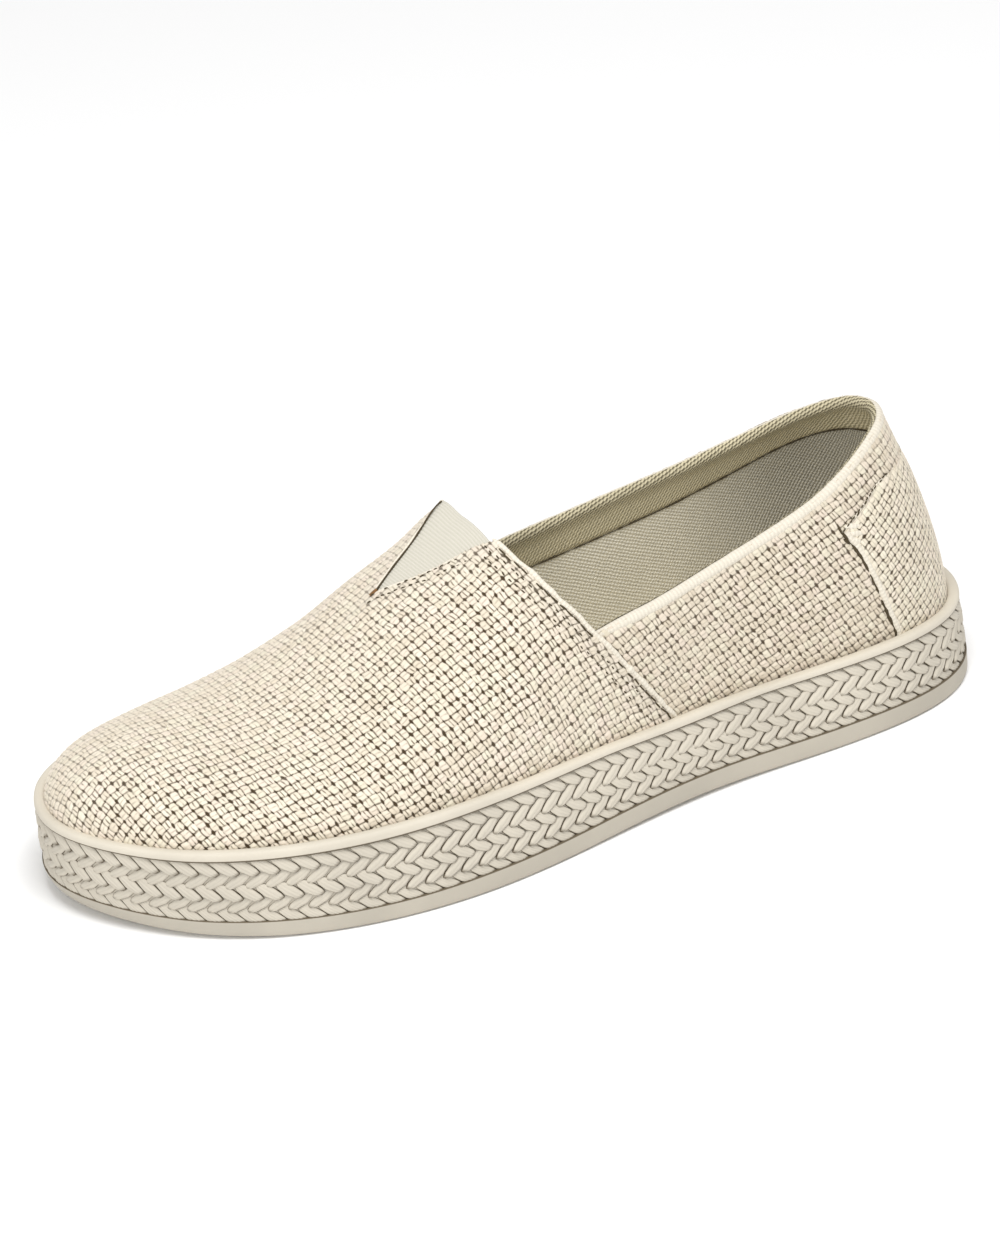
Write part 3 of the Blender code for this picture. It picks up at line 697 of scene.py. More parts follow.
materials = {
    # The three canvas panels are one cloth; their tints are painted light and shade for how the light falls
    # on each, the quarters darkest.
    "vamp": canvasMaterial("vampCanvas", (0.95, 0.92, 0.89), 6.5, 0.30, 0.18),
    "quarter": canvasMaterial("quarterCanvas", (0.89, 0.855, 0.815), 4.5, 0.0, 0.68),
    "counter": canvasMaterial("counterCanvas", (0.96, 0.94, 0.90), 3.0, 0.0, 0.85, -0.75),
    "collar": foldMaterial("collarFold", 0.92, 0.12),
    "edge": foldMaterial("edgeFold", 0.96, 0.14),
    # The lining's factors paint it darker at the heel and lighter towards the front; the facing's paint it
    # darker along the collar's roll than below.
    "lining": liningMaterial("liningTwill", (0.82, 0.40), (-0.37, 0.86), (0.88, 0.80, 1.27, 1.8)),
    "facing": liningMaterial("facingTwill", (-0.83, 0.476), (-0.22, 0.95), (1.2, 1.15, 1.05, 0.45),
                             (0.84, 0.79, 0.64)),
    "footbed": liningMaterial("footbedCloth", (0.7, 0.7), (0.7, -0.7), (1.1, 1.1, 1.1, 1.1)),
    # One rubber in three brightnesses, painted light and shade: the plait a little darker than the rim, and
    # the bottom band darkest, painted shade for its downward face.
    "rubber": rubberMaterial("soleRubber", 0.82),
    "plait": rubberMaterial("plaitRubber", 0.78),
    "band": rubberMaterial("bandRubber", 0.62),
    "elastic": elasticMaterial("goreElastic"),
    "seamShade": seamMaterial("seamShadow", finish["seamShade"]),
    "tack": seamMaterial("tackThread", finish["tack"]),
}


# Meshes and geometry trees.
def makeMesh(name, points, faces=(), edges=(), around=centre, **layers):
    # Points in millimetres; the layers are attributes, one value or vector a point.
    mesh = bpy.data.meshes.new(name)
    places = (np.asarray(points, float).reshape(-1, 3) - around) * mm
    mesh.from_pydata(places.tolist(), list(edges), [list(map(int, face)) for face in faces])
    for label, values in layers.items():
        vector = np.ndim(values) > 1 and np.shape(values)[-1] == 3
        layer = mesh.attributes.new(label, "FLOAT_VECTOR" if vector else "FLOAT", "POINT")
        layer.data.foreach_set("vector" if vector else "value", np.asarray(values, np.float32).ravel())
    mesh.update()
    return mesh


def gridFaces(rows, columns, wrapRows=False, wrapColumns=False, flip=False):
    i, j = np.meshgrid(np.arange(rows - 1 + wrapRows), np.arange(columns - 1 + wrapColumns), indexing="ij")
    i, j = i.ravel(), j.ravel()
    k, m = (i + 1) % rows, (j + 1) % columns
    quads = np.stack([i * columns + j, i * columns + m, k * columns + m, k * columns + j], axis=1)
    return quads[:, ::-1] if flip else quads


def outwardMesh(mesh):
    bm = bmesh.new()
    bm.from_mesh(mesh)
    bmesh.ops.recalc_face_normals(bm, faces=bm.faces)
    bm.to_mesh(mesh)
    bm.free()
    return mesh


def addPiece(name, mesh, finishName=None):
    piece = bpy.data.objects.new(name, mesh)
    bpy.context.scene.collection.objects.link(piece)
    if finishName:
        mesh.materials.append(materials[finishName])
        mesh.shade_smooth()
    return piece


def newTree(name, *sockets):
    tree = bpy.data.node_groups.new(name, "GeometryNodeTree")
    for place in ("OUTPUT", "INPUT"):
        tree.interface.new_socket(name="Geometry", in_out=place, socket_type="NodeSocketGeometry")
    for label, kind in (*sockets, ("Material", "Material")):
        tree.interface.new_socket(name=label, in_out="INPUT", socket_type="NodeSocket" + kind)
    start = {output.name: Flow(output) for output in tree.nodes.new("NodeGroupInput").outputs}
    return tree, start, tree.nodes.new("NodeGroupOutput")


def growMesh(source, tree, finishName, **values):
    # The tree's result on this mesh, as a plain mesh.
    carrier = bpy.data.objects.new("carrier", source)
    bpy.context.scene.collection.objects.link(carrier)
    modifier = carrier.modifiers.new("grow", "NODES")
    modifier.node_group = tree
    values["Material"] = materials[finishName]
    for item in tree.interface.items_tree:
        if item.item_type == "SOCKET" and item.in_out == "INPUT" and item.name in values:
            modifier[item.identifier] = values[item.name]
    graph = bpy.context.evaluated_depsgraph_get()
    evaluated = carrier.evaluated_get(graph)
    grown = bpy.data.meshes.new_from_object(evaluated, preserve_all_data_layers=True, depsgraph=graph)
    carrier.modifiers.remove(modifier)
    bpy.data.objects.remove(carrier)
    return grown


def named(tree, name, kind="FLOAT"):
    return nodeOut(tree, "GeometryNodeInputNamedAttribute", {"Name": name}, data_type=kind)


def closeTree(geometry, start, end):
    # Realize, smooth, give the material and put out.
    for kind in ("RealizeInstances", "SetShadeSmooth", "SetMaterial"):
        node = addNode(geometry.tree, "GeometryNode" + kind, (geometry,))
        geometry = Flow(node.outputs[0])
    wire(node.inputs["Material"], start["Material"])
    wire(end.inputs[0], geometry)
    return geometry.tree


def makeCanvasTree():
    # One quad of the source is one block of the weave.
    tree, start, end = newTree("wovenCloth", ("Level", "Int"), ("Relief", "Float"))
    inputs = {"Mesh": start["Geometry"], "Level": start["Level"]}
    fine = nodeOut(tree, "GeometryNodeSubdivisionSurface", inputs)
    cloth = weaveHeight(*loosened(*splitXYZ(named(tree, "thread", "FLOAT_VECTOR"))[:2]))
    normal = nodeOut(tree, "GeometryNodeInputNormal")
    inputs = {0: normal, "Scale": cloth["height"] * start["Relief"]}
    offset = nodeOut(tree, "ShaderNodeVectorMath", inputs, operation="SCALE")
    raised = nodeOut(tree, "GeometryNodeSetPosition", {"Geometry": fine, "Offset": offset})
    inputs = (named(tree, "room"), 0.0)
    outside = nodeOut(tree, "FunctionNodeCompare", inputs, data_type="FLOAT", operation="LESS_THAN")
    inputs = {"Geometry": raised, "Selection": outside}
    return closeTree(nodeOut(tree, "GeometryNodeDeleteGeometry", inputs, domain="FACE"), start, end)


def makeRollTree():
    # A round roll along a line; "thick" is its radius at each point.
    tree, start, end = newTree("roll", ("Sides", "Int"))
    curve = nodeOut(tree, "GeometryNodeMeshToCurve", {"Mesh": start["Geometry"]})
    inputs = {"Resolution": start["Sides"], "Radius": 1.0}
    profile = nodeOut(tree, "GeometryNodeCurvePrimitiveCircle", inputs, "Curve")
    inputs = {"Curve": curve, "Profile Curve": profile, "Scale": named(tree, "thick"), "Fill Caps": True}
    return closeTree(nodeOut(tree, "GeometryNodeCurveToMesh", inputs), start, end)


def makeRowTree():
    # Copies of one shape on a line's points, up "facing" and forward along "heading".
    tree, start, end = newTree("row", ("Shape", "Object"))
    axes = [named(tree, name, "FLOAT_VECTOR") for name in ("facing", "heading")]
    turn = nodeOut(tree, "FunctionNodeAxesToRotation", axes, primary_axis="Z", secondary_axis="X")
    shape = nodeOut(tree, "GeometryNodeObjectInfo", {"Object": start["Shape"]}, "Geometry")
    inputs = {"Points": start["Geometry"], "Instance": shape, "Rotation": turn}
    return closeTree(nodeOut(tree, "GeometryNodeInstanceOnPoints", inputs), start, end)


trees = {"canvas": makeCanvasTree(), "roll": makeRollTree(), "row": makeRowTree()}


def copyAlong(name, shape, points, facing, heading, finishName):
    # The shape is a mesh; the copies come out as one plain mesh.
    holder = bpy.data.objects.new("shape", shape)
    bpy.context.scene.collection.objects.link(holder)
    source = makeMesh(name + "Places", points, facing=facing, heading=heading)
    grown = growMesh(source, trees["row"], finishName, Shape=holder)
    bpy.data.objects.remove(holder)
    return addPiece(name, grown)


# The outer form as one surface that threads can be laid on.
formSet = {"columns": 300, "rows": 110, "below": 40.0}


def makeForm():
    # The form carries on straight down below the upper's foot, so that threads don't bunch there.
    points, faces = [], []
    u = np.linspace(0, 1, formSet["columns"])[:, None]
    w = np.linspace(0, 1, formSet["rows"])[None, :]
    for side in sides:
        grid = upperForm(u, w, side)
        grid = np.concatenate([grid[:, :1] - formSet["below"] * upward, grid], axis=1)
        faces.append(gridFaces(*grid.shape[:2], flip=side < 0) + len(faces) * grid[..., 0].size)
        points.append(grid.reshape(-1, 3))
    return BVHTree.FromPolygons([Vector(p) for p in np.concatenate(points)], np.concatenate(faces).tolist())


form = makeForm()


def onForm(point):
    hit = form.find_nearest(Vector(point))
    return np.array(hit[0]), np.array(hit[1])


def ontoForm(points):
    # The nearest places on the form, and its normals there.
    hits = [onForm(point) for point in points]
    return np.array([hit[0] for hit in hits]), np.array([hit[1] for hit in hits])


def lifted(points, lift):
    return points + ontoForm(points)[1] * lift


def layNet(start, directions, steps, ranges):
    # Two threads are laid straight from the start, and the rest keep their distance to them.
    net = {(0, 0): onForm(start)[0]}
    walks = []
    for axis, (low, high) in enumerate(ranges):
        walks.append([(n, n - 1) for n in range(1, high + 1)] + [(n, n + 1) for n in range(-1, low - 1, -1)])
        for number, before in walks[axis]:
            if before == 0:
                place, normal = onForm(start)
                heading = unit(directions[axis]) * number
            heading = unit(heading - normal * (heading @ normal))
            moved, normal = onForm(place + heading * steps[axis])
            heading = unit(moved - place)
            place = moved
            net[(0, number) if axis else (number, 0)] = place
    for i, iBefore in walks[0]:
        for j, jBefore in walks[1]:
            beside, behind = net[(iBefore, j)], net[(i, jBefore)]
            place = beside + behind - net[(iBefore, jBefore)]
            for _ in range(2):
                place = onForm(place)[0]
                toBeside, toBehind = place - beside, place - behind
                place = place + 0.45 * toBeside * (steps[0] / max(np.linalg.norm(toBeside), 1e-6) - 1)
                place = place + 0.45 * toBehind * (steps[1] / max(np.linalg.norm(toBehind), 1e-6) - 1)
            net[(i, j)] = onForm(place)[0]
    rows, columns = (np.arange(low, high + 1) for low, high in ranges)
    return rows, columns, np.array([[net[(i, j)] for j in columns] for i in rows])


def bySide(points, outer, inner):
    return np.where(points[..., 1] > ridgeShift(points[..., 0]), outer, inner)


def pastVampEdge(points):
    # Distance ahead of the vamp's back edge, seen from the side.
    gaps = []
    x, z = points[..., 0] - vampFootX, points[..., 2] - vampFootZ
    for side in sides:
        slope = math.atan2(throatHeight[side] - vampFootZ, throatX - vampFootX)
        gaps.append(x * math.sin(slope) - z * math.cos(slope))
    return bySide(points, *gaps)


def pastNotch(points):
    # Distance outside the open notch, seen from above.
    x = points[..., 0]
    off = points[..., 1] - ridgeShift(x)
    slope = math.atan2(last["goreHalf"], apexX - throatX)
    return (np.abs(off) - np.where(off > 0, notchEdge(x, 1), notchEdge(x, -1))) * math.cos(slope)


def belowCollar(points):
    return bySide(points, *[collarHeight[side](points[..., 0]) for side in sides]) - points[..., 2]


panelSet = {
    "margin": 2.5,        # cloth kept past the cut, for the fine trim
    "jitter": 0.10,
    "bottom": 17.0,        # hidden inside the rim below this
    "relief": 0.00032,
    "stretch": 2.2,        # blocks drawn out past this many pitches are left out
}


def startPoint(x, height, side):
    u = shareAt(x, side)
    return upperForm(u, levelAt(u, height, side), side)


creases = (
    # side, start and end as x and height, half width, depth; a ridge is negative
    (1, (45.0, 60.0), (58.0, 50.0), 3.0, 0.45),
    (1, (44.0, 66.0), (30.0, 73.0), 2.2, 0.50),
    (1, (52.0, 66.0), (66.0, 61.0), 4.0, 0.35),
    (1, (96.0, 46.0), (112.0, 33.0), 5.0, 0.30),
    (1, (124.0, 34.0), (133.0, 31.0), 2.5, 0.35),
    (1, (150.0, 52.0), (176.0, 44.0), 6.0, -0.35),
    (1, (196.0, 60.0), (214.0, 38.0), 7.0, 0.30),
    (-1, (60.0, 62.0), (84.0, 48.0), 5.0, 0.40),
    (-1, (190.0, 60.0), (206.0, 38.0), 7.0, 0.35),
)


def creaseLift(points):
    total = np.zeros(len(points))
    for side, start, end, width, depth in creases:
        first, second = startPoint(*start, side), startPoint(*end, side)
        run = second - first
        share = np.clip(((points - first) @ run) / (run @ run), 0, 1)
        away = np.linalg.norm(points - first - share[:, None] * run, axis=1)
        total -= depth * np.exp(-((away / width) ** 2)) * (0.35 + 0.65 * np.sin(np.pi * (0.1 + 0.8 * share)))
    return total


def sewPanel(name, net, room, lift, pitch, finishName):
    # Keeps the blocks that reach the panel, lifts them off the form and weaves them.
    rows, columns, grid = net
    points = grid.reshape(-1, 3)
    space = room(points)
    faces = gridFaces(*grid.shape[:2])
    keep = space[faces].max(axis=1) > -panelSet["margin"]
    keep &= points[faces, 2].max(axis=1) > panelSet["bottom"]
    span = np.linalg.norm(points[faces] - points[np.roll(faces, 1, axis=1)], axis=2).max(axis=1)
    used, faces = np.unique(faces[keep & (span < panelSet["stretch"] * pitch)], return_inverse=True)
    faces = faces.reshape(-1, 4)
    wobble = rng.normal(0, panelSet["jitter"], points.shape)[used]
    points = points[used]
    normals = ontoForm(points)[1]
    wobble -= normals * (wobble * normals).sum(axis=1, keepdims=True)
    corner = points[faces[:, 0]]
    facing = np.cross(points[faces[:, 1]] - corner, points[faces[:, 3]] - corner)
    if (facing * normals[faces[:, 0]]).sum() < 0:
        faces = faces[:, ::-1]
    i, j = np.meshgrid(rows, columns, indexing="ij")
    thread = np.stack([i, j, 0 * i], axis=-1).reshape(-1, 3)[used]
    points = points + wobble + normals * (lift(points) + creaseLift(points))[:, None]
    source = makeMesh(name + "Source", points, faces, thread=thread, room=room(points))
    return addPiece(name, growMesh(source, trees["canvas"], finishName, Level=2, Relief=panelSet["relief"]))


vampSet = {
    "startX": 200.0,
    "steps": (2.36, 2.74),
    "ranges": ((-58, 48), (-44, 44)),
    "overlap": 0.55,        # stands over the quarters at its back edge
    "flat": 0.5,
}


def vampRoom(points):
    return np.minimum(pastVampEdge(points), pastNotch(points))


def overlapAt(ahead):
    return vampSet["overlap"] * (1 - smoothStep(ahead, 3.0, 16.0))


def vampLift(points):
    # The far side of the notch lies flatter.
    flat = vampSet["flat"] * (1 - smoothStep(pastNotch(points), 5.0, 14.0)) * bySide(points, 0, 1)
    return overlapAt(pastVampEdge(points)) - flat


def makeVamp():
    x = vampSet["startX"]
    start, ahead = (np.array([v, ridgeShift(v), ridgeHeight(v)]) for v in (x, x + 1))
    net = layNet(start, (ahead - start, (0, 1, 0)), vampSet["steps"], vampSet["ranges"])
    return sewPanel("vamp", net, vampRoom, vampLift, 2.7, "vamp")


vamp = makeVamp()
print("vamp", len(vamp.data.polygons))


def lean(point, degrees):
    # A direction on the form: 0 towards the toe, 90 straight up.
    normal = onForm(point)[1]
    ahead = unit(np.array([1.0, 0, 0]) - normal * normal[0])
    up = np.cross(normal, ahead)
    up = up if up[2] > 0 else -up
    return ahead * math.cos(math.radians(degrees)) + up * math.sin(math.radians(degrees))


def leaningNet(panel, side):
    start = startPoint(*panel["start"], side)
    directions = [lean(start, degrees) for degrees in panel["leans"]]
    return layNet(start, directions, panel["steps"], panel["ranges"])


quarterSet = {
    "start": (85.0, 50.0),        # x and height
    "leans": (-18.0, 60.0),        # of the lengthwise and the crosswise threads
    "steps": (2.35, 2.71),
    "ranges": ((-62, 48), (-42, 34)),
    "under": 7.0,        # runs on beneath the vamp
    "sunk": 0.35,
}


def makeQuarter(side):
    def room(points):
        front = quarterSet["under"] - pastVampEdge(points)
        return np.minimum(np.minimum(belowCollar(points), front), points[..., 1] * side + 0.25)

    def lift(points):
        return -quarterSet["sunk"] * smoothStep(pastVampEdge(points), -4.0, 1.0)

    return sewPanel(sides[side] + "Quarter", leaningNet(quarterSet, side), room, lift, 2.7, "quarter")


quarters = [makeQuarter(side) for side in sides]
print("quarters", [len(piece.data.polygons) for piece in quarters])


counterSet = {
    # height, station of the front edge
    "front": ((26.0, 0.118), (41.5, 0.138), (52.0, 0.151), (62.0, 0.171)),
    # share of the way from the back of the heel, height of the top edge
    "top": ((0.0, 70.5), (0.4, 72.0), (0.7, 71.0), (1.0, 62.0)),
    "start": (30.0, 45.0),
    "leans": (60.0, -31.0),
    "steps": (2.62, 2.12),
    "ranges": ((-48, 32), (-66, 22)),
    "lift": 0.5,
    "topLift": 0.10,
    "heights": (16, 84, 35),        # low, high and count of the levels that shares are looked up on
    "reach": (0.3, 400),        # and how far round, in how many steps
}
counterFront = tableCurve(counterSet["front"], 1, last["length"], along=1)
counterTop = tableCurve(counterSet["top"], 1, along=1)


def frontShare(height, side):
    path, _, share = halves[side]
    return np.interp(counterFront(height), path[:, 0], share)


def counterShare(points):
    # Shares of the way from the back of the heel to the patch's front edge.
    heights = np.linspace(*counterSet["heights"])
    column = np.round((points[:, 2] - heights[0]) / (heights[1] - heights[0])).astype(int)
    column = np.clip(column, 0, len(heights) - 1)
    u = np.linspace(0, *counterSet["reach"])
    shares = []
    for side in sides:
        gap = quarterForm(u[:, None], heights[None, :], side)[:, column, :2] - points[None, :, :2]
        shares.append(u[np.argmin((gap**2).sum(axis=-1), axis=0)] / frontShare(heights[column], side))
    return np.where(points[:, 1] > 0, *shares)


def underTop(points, share):
    return counterTop(np.clip(share, 0, 1)) - points[:, 2]


def counterRoom(points):
    return np.minimum(counterFront(points[:, 2]) - points[:, 0], underTop(points, counterShare(points)))


def counterLift(points):
    # The top edge lies flatter than the front one, away from the corner.
    share = counterShare(points)
    flat = (1 - smoothStep(underTop(points, share), 0.5, 6.0)) * (1 - smoothStep(share, 0.55, 0.9))
    return counterSet["lift"] + (counterSet["topLift"] - counterSet["lift"]) * flat


heelPatch = sewPanel("heelPatch", leaningNet(counterSet, 1), counterRoom, counterLift, 2.5, "counter")
print("heel patch", len(heelPatch.data.polygons))


# Rolls and folds along the edges.
def makeRoll(name, points, thick, finishName, corners=12, uneven=0.0):
    run = distances(points)
    knots = np.arange(0, run[-1] + 3, 1.6)
    lumps = np.interp(run, knots, rng.normal(0, uneven, len(knots)))
    thick = np.broadcast_to(thick, len(points)) * (1 + lumps) * mm
    steps = [(i, i + 1) for i in range(len(points) - 1)]
    source = makeMesh(name + "Line", points, edges=steps, thick=thick, run=run)
    return addPiece(name, growMesh(source, trees["roll"], finishName, Sides=corners))


collarSet = {"radius": 1.75, "endRadius": 1.1, "taper": 14.0, "sunk": 1.0, "down": 0.9, "beyond": 3.0}


def collarLine(side, count=150):
    u = np.linspace(0, shareAt(collarEnd(side) + collarSet["beyond"], side), count)
    points = upperForm(u, 0.5, side)
    for _ in range(4):
        points = upperForm(u, levelAt(u, collarHeight[side](points[:, 0]), side), side)
    return points


def collarPath():
    # The collar's edge, the middle of the roll and its radius, from the outer end round to the inner.
    points = np.concatenate([collarLine(1)[::-1], collarLine(-1)[1:]])
    middle = lifted(points, -collarSet["sunk"]) - collarSet["down"] * upward
    run = distances(middle)
    full = smoothStep(np.minimum(run, run[-1] - run), 0, collarSet["taper"])
    return points, middle, collarSet["endRadius"] + (collarSet["radius"] - collarSet["endRadius"]) * full


edgeSet = {"radius": 0.82, "notchRadius": {1: 0.45, -1: 0.34}, "counterRadius": 1.0, "uneven": 0.16}


def vampEdgeLine(side, ahead=0.0, count=60):
    # The vamp's back edge, or a line this far ahead of it along x.
    x = np.linspace(vampFootX - 3.5, throatX, count)
    u = shareAt(x + ahead, side)
    return upperForm(u, levelAt(u, vampEdgeHeight(x, side), side), side)


def notchLine(side, away=0.0, count=40):
    x = np.linspace(throatX + 0.4, apexX + away, count)
    return notchPoint(x, np.maximum(notchEdge(x, side) + away, 0.0), side)


def counterLine(side, count=40):
    # Up the patch's front edge, and along its top to the back of the heel.
    height = np.linspace(22.0, 62.0, count)
    across = np.linspace(1, 0, count)
    top = counterTop(across)
    rise = quarterForm(frontShare(height, side), height, side)
    return rise, quarterForm(frontShare(top, side) * across, top, side)


def taperedEnds(points, radius, start, end):
    # Full radius along the line, falling to these shares of it at the two ends.
    run = distances(points)
    leave = start + (1 - start) * smoothStep(run, 0, 2.5)
    return radius * leave * (end + (1 - end) * smoothStep(run[-1] - run, 0, 2.5))


def wandering(points, reach, step=3.4):
    # The line with a slow sideways waver.
    run = distances(points)
    knots = np.arange(0, run[-1] + step, step)
    shift = np.stack([np.interp(run, knots, rng.normal(0, reach, len(knots))) for _ in range(3)], axis=1)
    return points + shift * (1, 0.3, 0.3)


def makeEdges():
    _, middle, thick = collarPath()
    made = [makeRoll("collarRoll", middle, thick, "collar", 16, 0.02)]
    for side, label in sides.items():
        back = wandering(lifted(vampEdgeLine(side, count=90), vampSet["overlap"] - 0.15), 0.22)
        thick = taperedEnds(back, edgeSet["radius"], 1, 0.35)
        made.append(makeRoll(label + "VampFold", back, thick, "edge", 12, edgeSet["uneven"]))
        notch = lifted(notchLine(side), -0.2)
        thick = taperedEnds(notch, edgeSet["notchRadius"][side], 0.4, 0.6)
        made.append(makeRoll(label + "NotchFold", notch, thick, "edge", 10, edgeSet["uneven"]))
    lines = {side: counterLine(side) for side in sides}
    top = np.concatenate([lines[1][1], lines[-1][1][-2::-1]])
    top = lifted(top, counterSet["topLift"] - 0.45) - 0.3 * upward
    made.append(makeRoll("heelPatchTopFold", top, 0.6, "edge", 12, 0.06))
    for side, label in sides.items():
        back = wandering(lifted(lines[side][0], counterSet["lift"] - 0.72) - (0.85, 0, 0), 0.15)
        made.append(makeRoll(label + "HeelPatchFold", back, edgeSet["counterRadius"], "edge", 14, 0.06))
    return made


edges = makeEdges()
print("edges", len(edges))


# Lining, facing and gore.
def clothTop(u, side):
    def onCloth(w):
        x, y, z = np.moveaxis(upperForm(u, w, side), -1, 0)
        below = z < np.maximum(collarHeight[side](x), vampEdgeHeight(x, side))
        return np.where(x < throatX, below, (y - ridgeShift(x)) * side > notchHalf(x))

    return np.where(shareAt(apexX, side) <= u + 1e-9, 1.0, solve(onCloth, np.shape(u)))


def gridNormals(grid):
    normals = unit(np.cross(np.gradient(grid, axis=1), np.gradient(grid, axis=0)))
    away = grid - np.array([grid[..., 0].mean(), 0, grid[..., 2].mean()])
    return normals if (normals * away).sum() > 0 else -normals


def rowRuns(grid):
    # How far along its row each point is.
    return np.cumsum(np.linalg.norm(np.diff(grid, axis=1, prepend=grid[:, :1]), axis=2), axis=1)


liningSet = {
    "inset": 1.75,
    "columns": 220,
    "rows": 46,
    "foot": 0.03,
    "lead": (32, 85),        # from behind to ahead of these the other ribs take over, and the lining's painted light changes with them
    "facingInset": 2.25,
    "facingWidth": 12.5,
    "facingRows": 12,
    "facingTurns": (76, 56, 36, 14, -10, -32),        # round the collar's roll
    "facingGap": 0.24,
}


def makeLining(side):
    u = np.linspace(0, 1, liningSet["columns"])
    foot, share = liningSet["foot"], np.linspace(0, 1, liningSet["rows"])[None, :]
    grid = upperForm(u[:, None], foot + (clothTop(u, side)[:, None] - foot) * share, side)
    inner = grid - gridNormals(grid) * liningSet["inset"]
    lead = smoothStep(inner[..., 0], *liningSet["lead"])
    cloth = np.stack(np.broadcast_arrays(distances(inner[:, 0])[:, None], rowRuns(inner), lead), axis=-1)
    name = sides[side] + "Lining"
    return addPiece(name, makeMesh(name, inner, gridFaces(*lead.shape, flip=side > 0), cloth=cloth), "lining")


def makeFacing():
    # The facing comes up over the inside of the collar's roll.
    points, middle, thick = collarPath()
    place, outward = points, ontoForm(points)[1]
    level = unit(outward * (1, 1, 0))
    levels = []
    for turn in np.radians(liningSet["facingTurns"]):
        around = math.sin(turn) * upward - level * math.cos(turn)
        levels.append(middle + around * (thick + liningSet["facingGap"])[:, None])
    rows = liningSet["facingRows"]
    for number in range(rows):
        down = unit(outward * outward[:, 2:3] - upward)
        place, outward = ontoForm(place + down * liningSet["facingWidth"] / rows)
        if number > 2:
            inset = liningSet["facingInset"] - 0.5 * (number == rows - 1) + 0.2 * (number == 3)
            levels.append(place - outward * inset)
    grid = np.stack(levels, axis=1)
    fall = rowRuns(grid)
    run = distances(points)[:, None]
    cloth = np.stack(np.broadcast_arrays(run, fall, 1 - smoothStep(fall, 2.0, 6.5)), axis=-1)
    return addPiece("facing", makeMesh("facing", grid, gridFaces(*fall.shape), cloth=cloth), "facing"), grid


linings = [makeLining(side) for side in sides]
facing, facingGrid = makeFacing()
print("lining")


# Stitches and seams.
stitchSet = {
    # length, breadth and height of a gap dark with painted shade, across the fold and along it
    "gap": (1.2, 0.46, 0.30),
    "fold": (2.7, 0.55, 0.36),
    # ahead of the vamp's back edge along x, spacing, gap
    "backRows": ((1.45, 2.9, "fold"), (3.9, 2.5, "gap"), (7.0, 2.4, "gap")),
    # side, out from the notch's edge, lift
    "notchRows": ((1, 0.62, 0.32), (1, 2.9, 0.32)),
    "missing": 0.14,
}
goreSet = {
    "rear": 156.3,
    "rearEase": 12.0,
    "front": apexX + 3.0,
    "under": 4.0,        # runs on beneath the folded edges
    "sunk": 0.75,
    "farRise": 1.7,        # the far rear corner is drawn up to the vamp's
    "farBack": 1.2,
    "bow": (0.9, 0.6),        # the rear edge stands up and back in its middle
    "taut": 0.75,        # share of the crown that is pulled straight between the folds
    "pitch": 0.80,
    "samples": 4,        # rows to one rib
    "columns": 26,
    "relief": 0.16,
    "thick": 1.0,
}
puckers = (
    # start and end as x and height, radius, finish
    ((49.0, 63.2), (41.6, 62.0), 1.15, "edge"),
    ((48.8, 61.4), (42.0, 59.6), 1.20, "edge"),
    ((48.0, 59.6), (43.4, 57.2), 1.15, "edge"),
    ((46.4, 57.8), (44.4, 55.4), 0.95, "edge"),
    ((51.0, 64.8), (50.0, 61.4), 0.36, "seamShade"),
    ((49.8, 60.2), (48.0, 58.0), 0.34, "seamShade"),
)


def gapMesh(length, breadth, height):
    # A short gap in the cloth, with its ends pulled down, dark with painted shade.
    p, q = np.meshgrid(np.linspace(-1, 1, 7), np.linspace(-1, 1, 5), indexing="ij")
    rise = height * (1 - np.abs(p) ** 3) ** 0.7 * (1 - q**2) ** 0.5 - 0.12
    points = np.stack([p * length / 2, q * breadth / 2 * (1 - 0.35 * p**2), rise], axis=-1)
    return makeMesh("gap", points, gridFaces(*p.shape, flip=True), around=0)


def placesAlong(at, run, columns):
    return np.stack([np.interp(at, run, column) for column in columns.T], axis=1)


def sewRow(name, line, spacing, lift, gap="gap", keep=None):
    run = distances(line)
    at = np.arange(0.5 * spacing, run[-1], spacing)
    at = np.clip(at + rng.normal(0, 0.06 * spacing, len(at)), 0, run[-1])
    points = placesAlong(at, run, line)
    heading = unit(np.gradient(points, axis=0))
    if keep:
        wanted = keep(points)
        points, heading = points[wanted], heading[wanted]
    sewn = rng.random(len(points)) > stitchSet["missing"]
    points, heading = points[sewn], heading[sewn]
    points, facing = ontoForm(points + rng.normal(0, 0.16, points.shape))
    heading = unit(heading + rng.normal(0, 0.10, heading.shape))
    return copyAlong(name, gapMesh(*stitchSet[gap]), points + facing * lift, facing, heading, "seamShade")


def onVamp(p):
    return (pastNotch(p) > 0.8) & (p[:, 2] > 25.0) & ((p[:, 1] > 0) | (p[:, 2] < 58.0))


def makeStitches():
    # Rows of stitch gaps, dark with painted shade, ahead of the vamp's back edge and beside the notch.
    made = []
    for side, label in sides.items():
        for number, (ahead, spacing, gap) in enumerate(stitchSet["backRows"], 1):
            rise = overlapAt(ahead * 0.8) + 0.34
            name = f"{label}BackStitches{number}"
            made.append(sewRow(name, vampEdgeLine(side, ahead), spacing, rise, gap, onVamp))
    for number, (side, away, rise) in enumerate(stitchSet["notchRows"], 1):
        line = notchLine(side, away)
        made.append(sewRow(f"notchStitches{number}", line, 2.2, rise, keep=lambda p: pastVampEdge(p) > 1.6))
    return made


def atRear(x):
    return 1 - smoothStep(x, goreSet["rear"], goreSet["rear"] + goreSet["rearEase"])


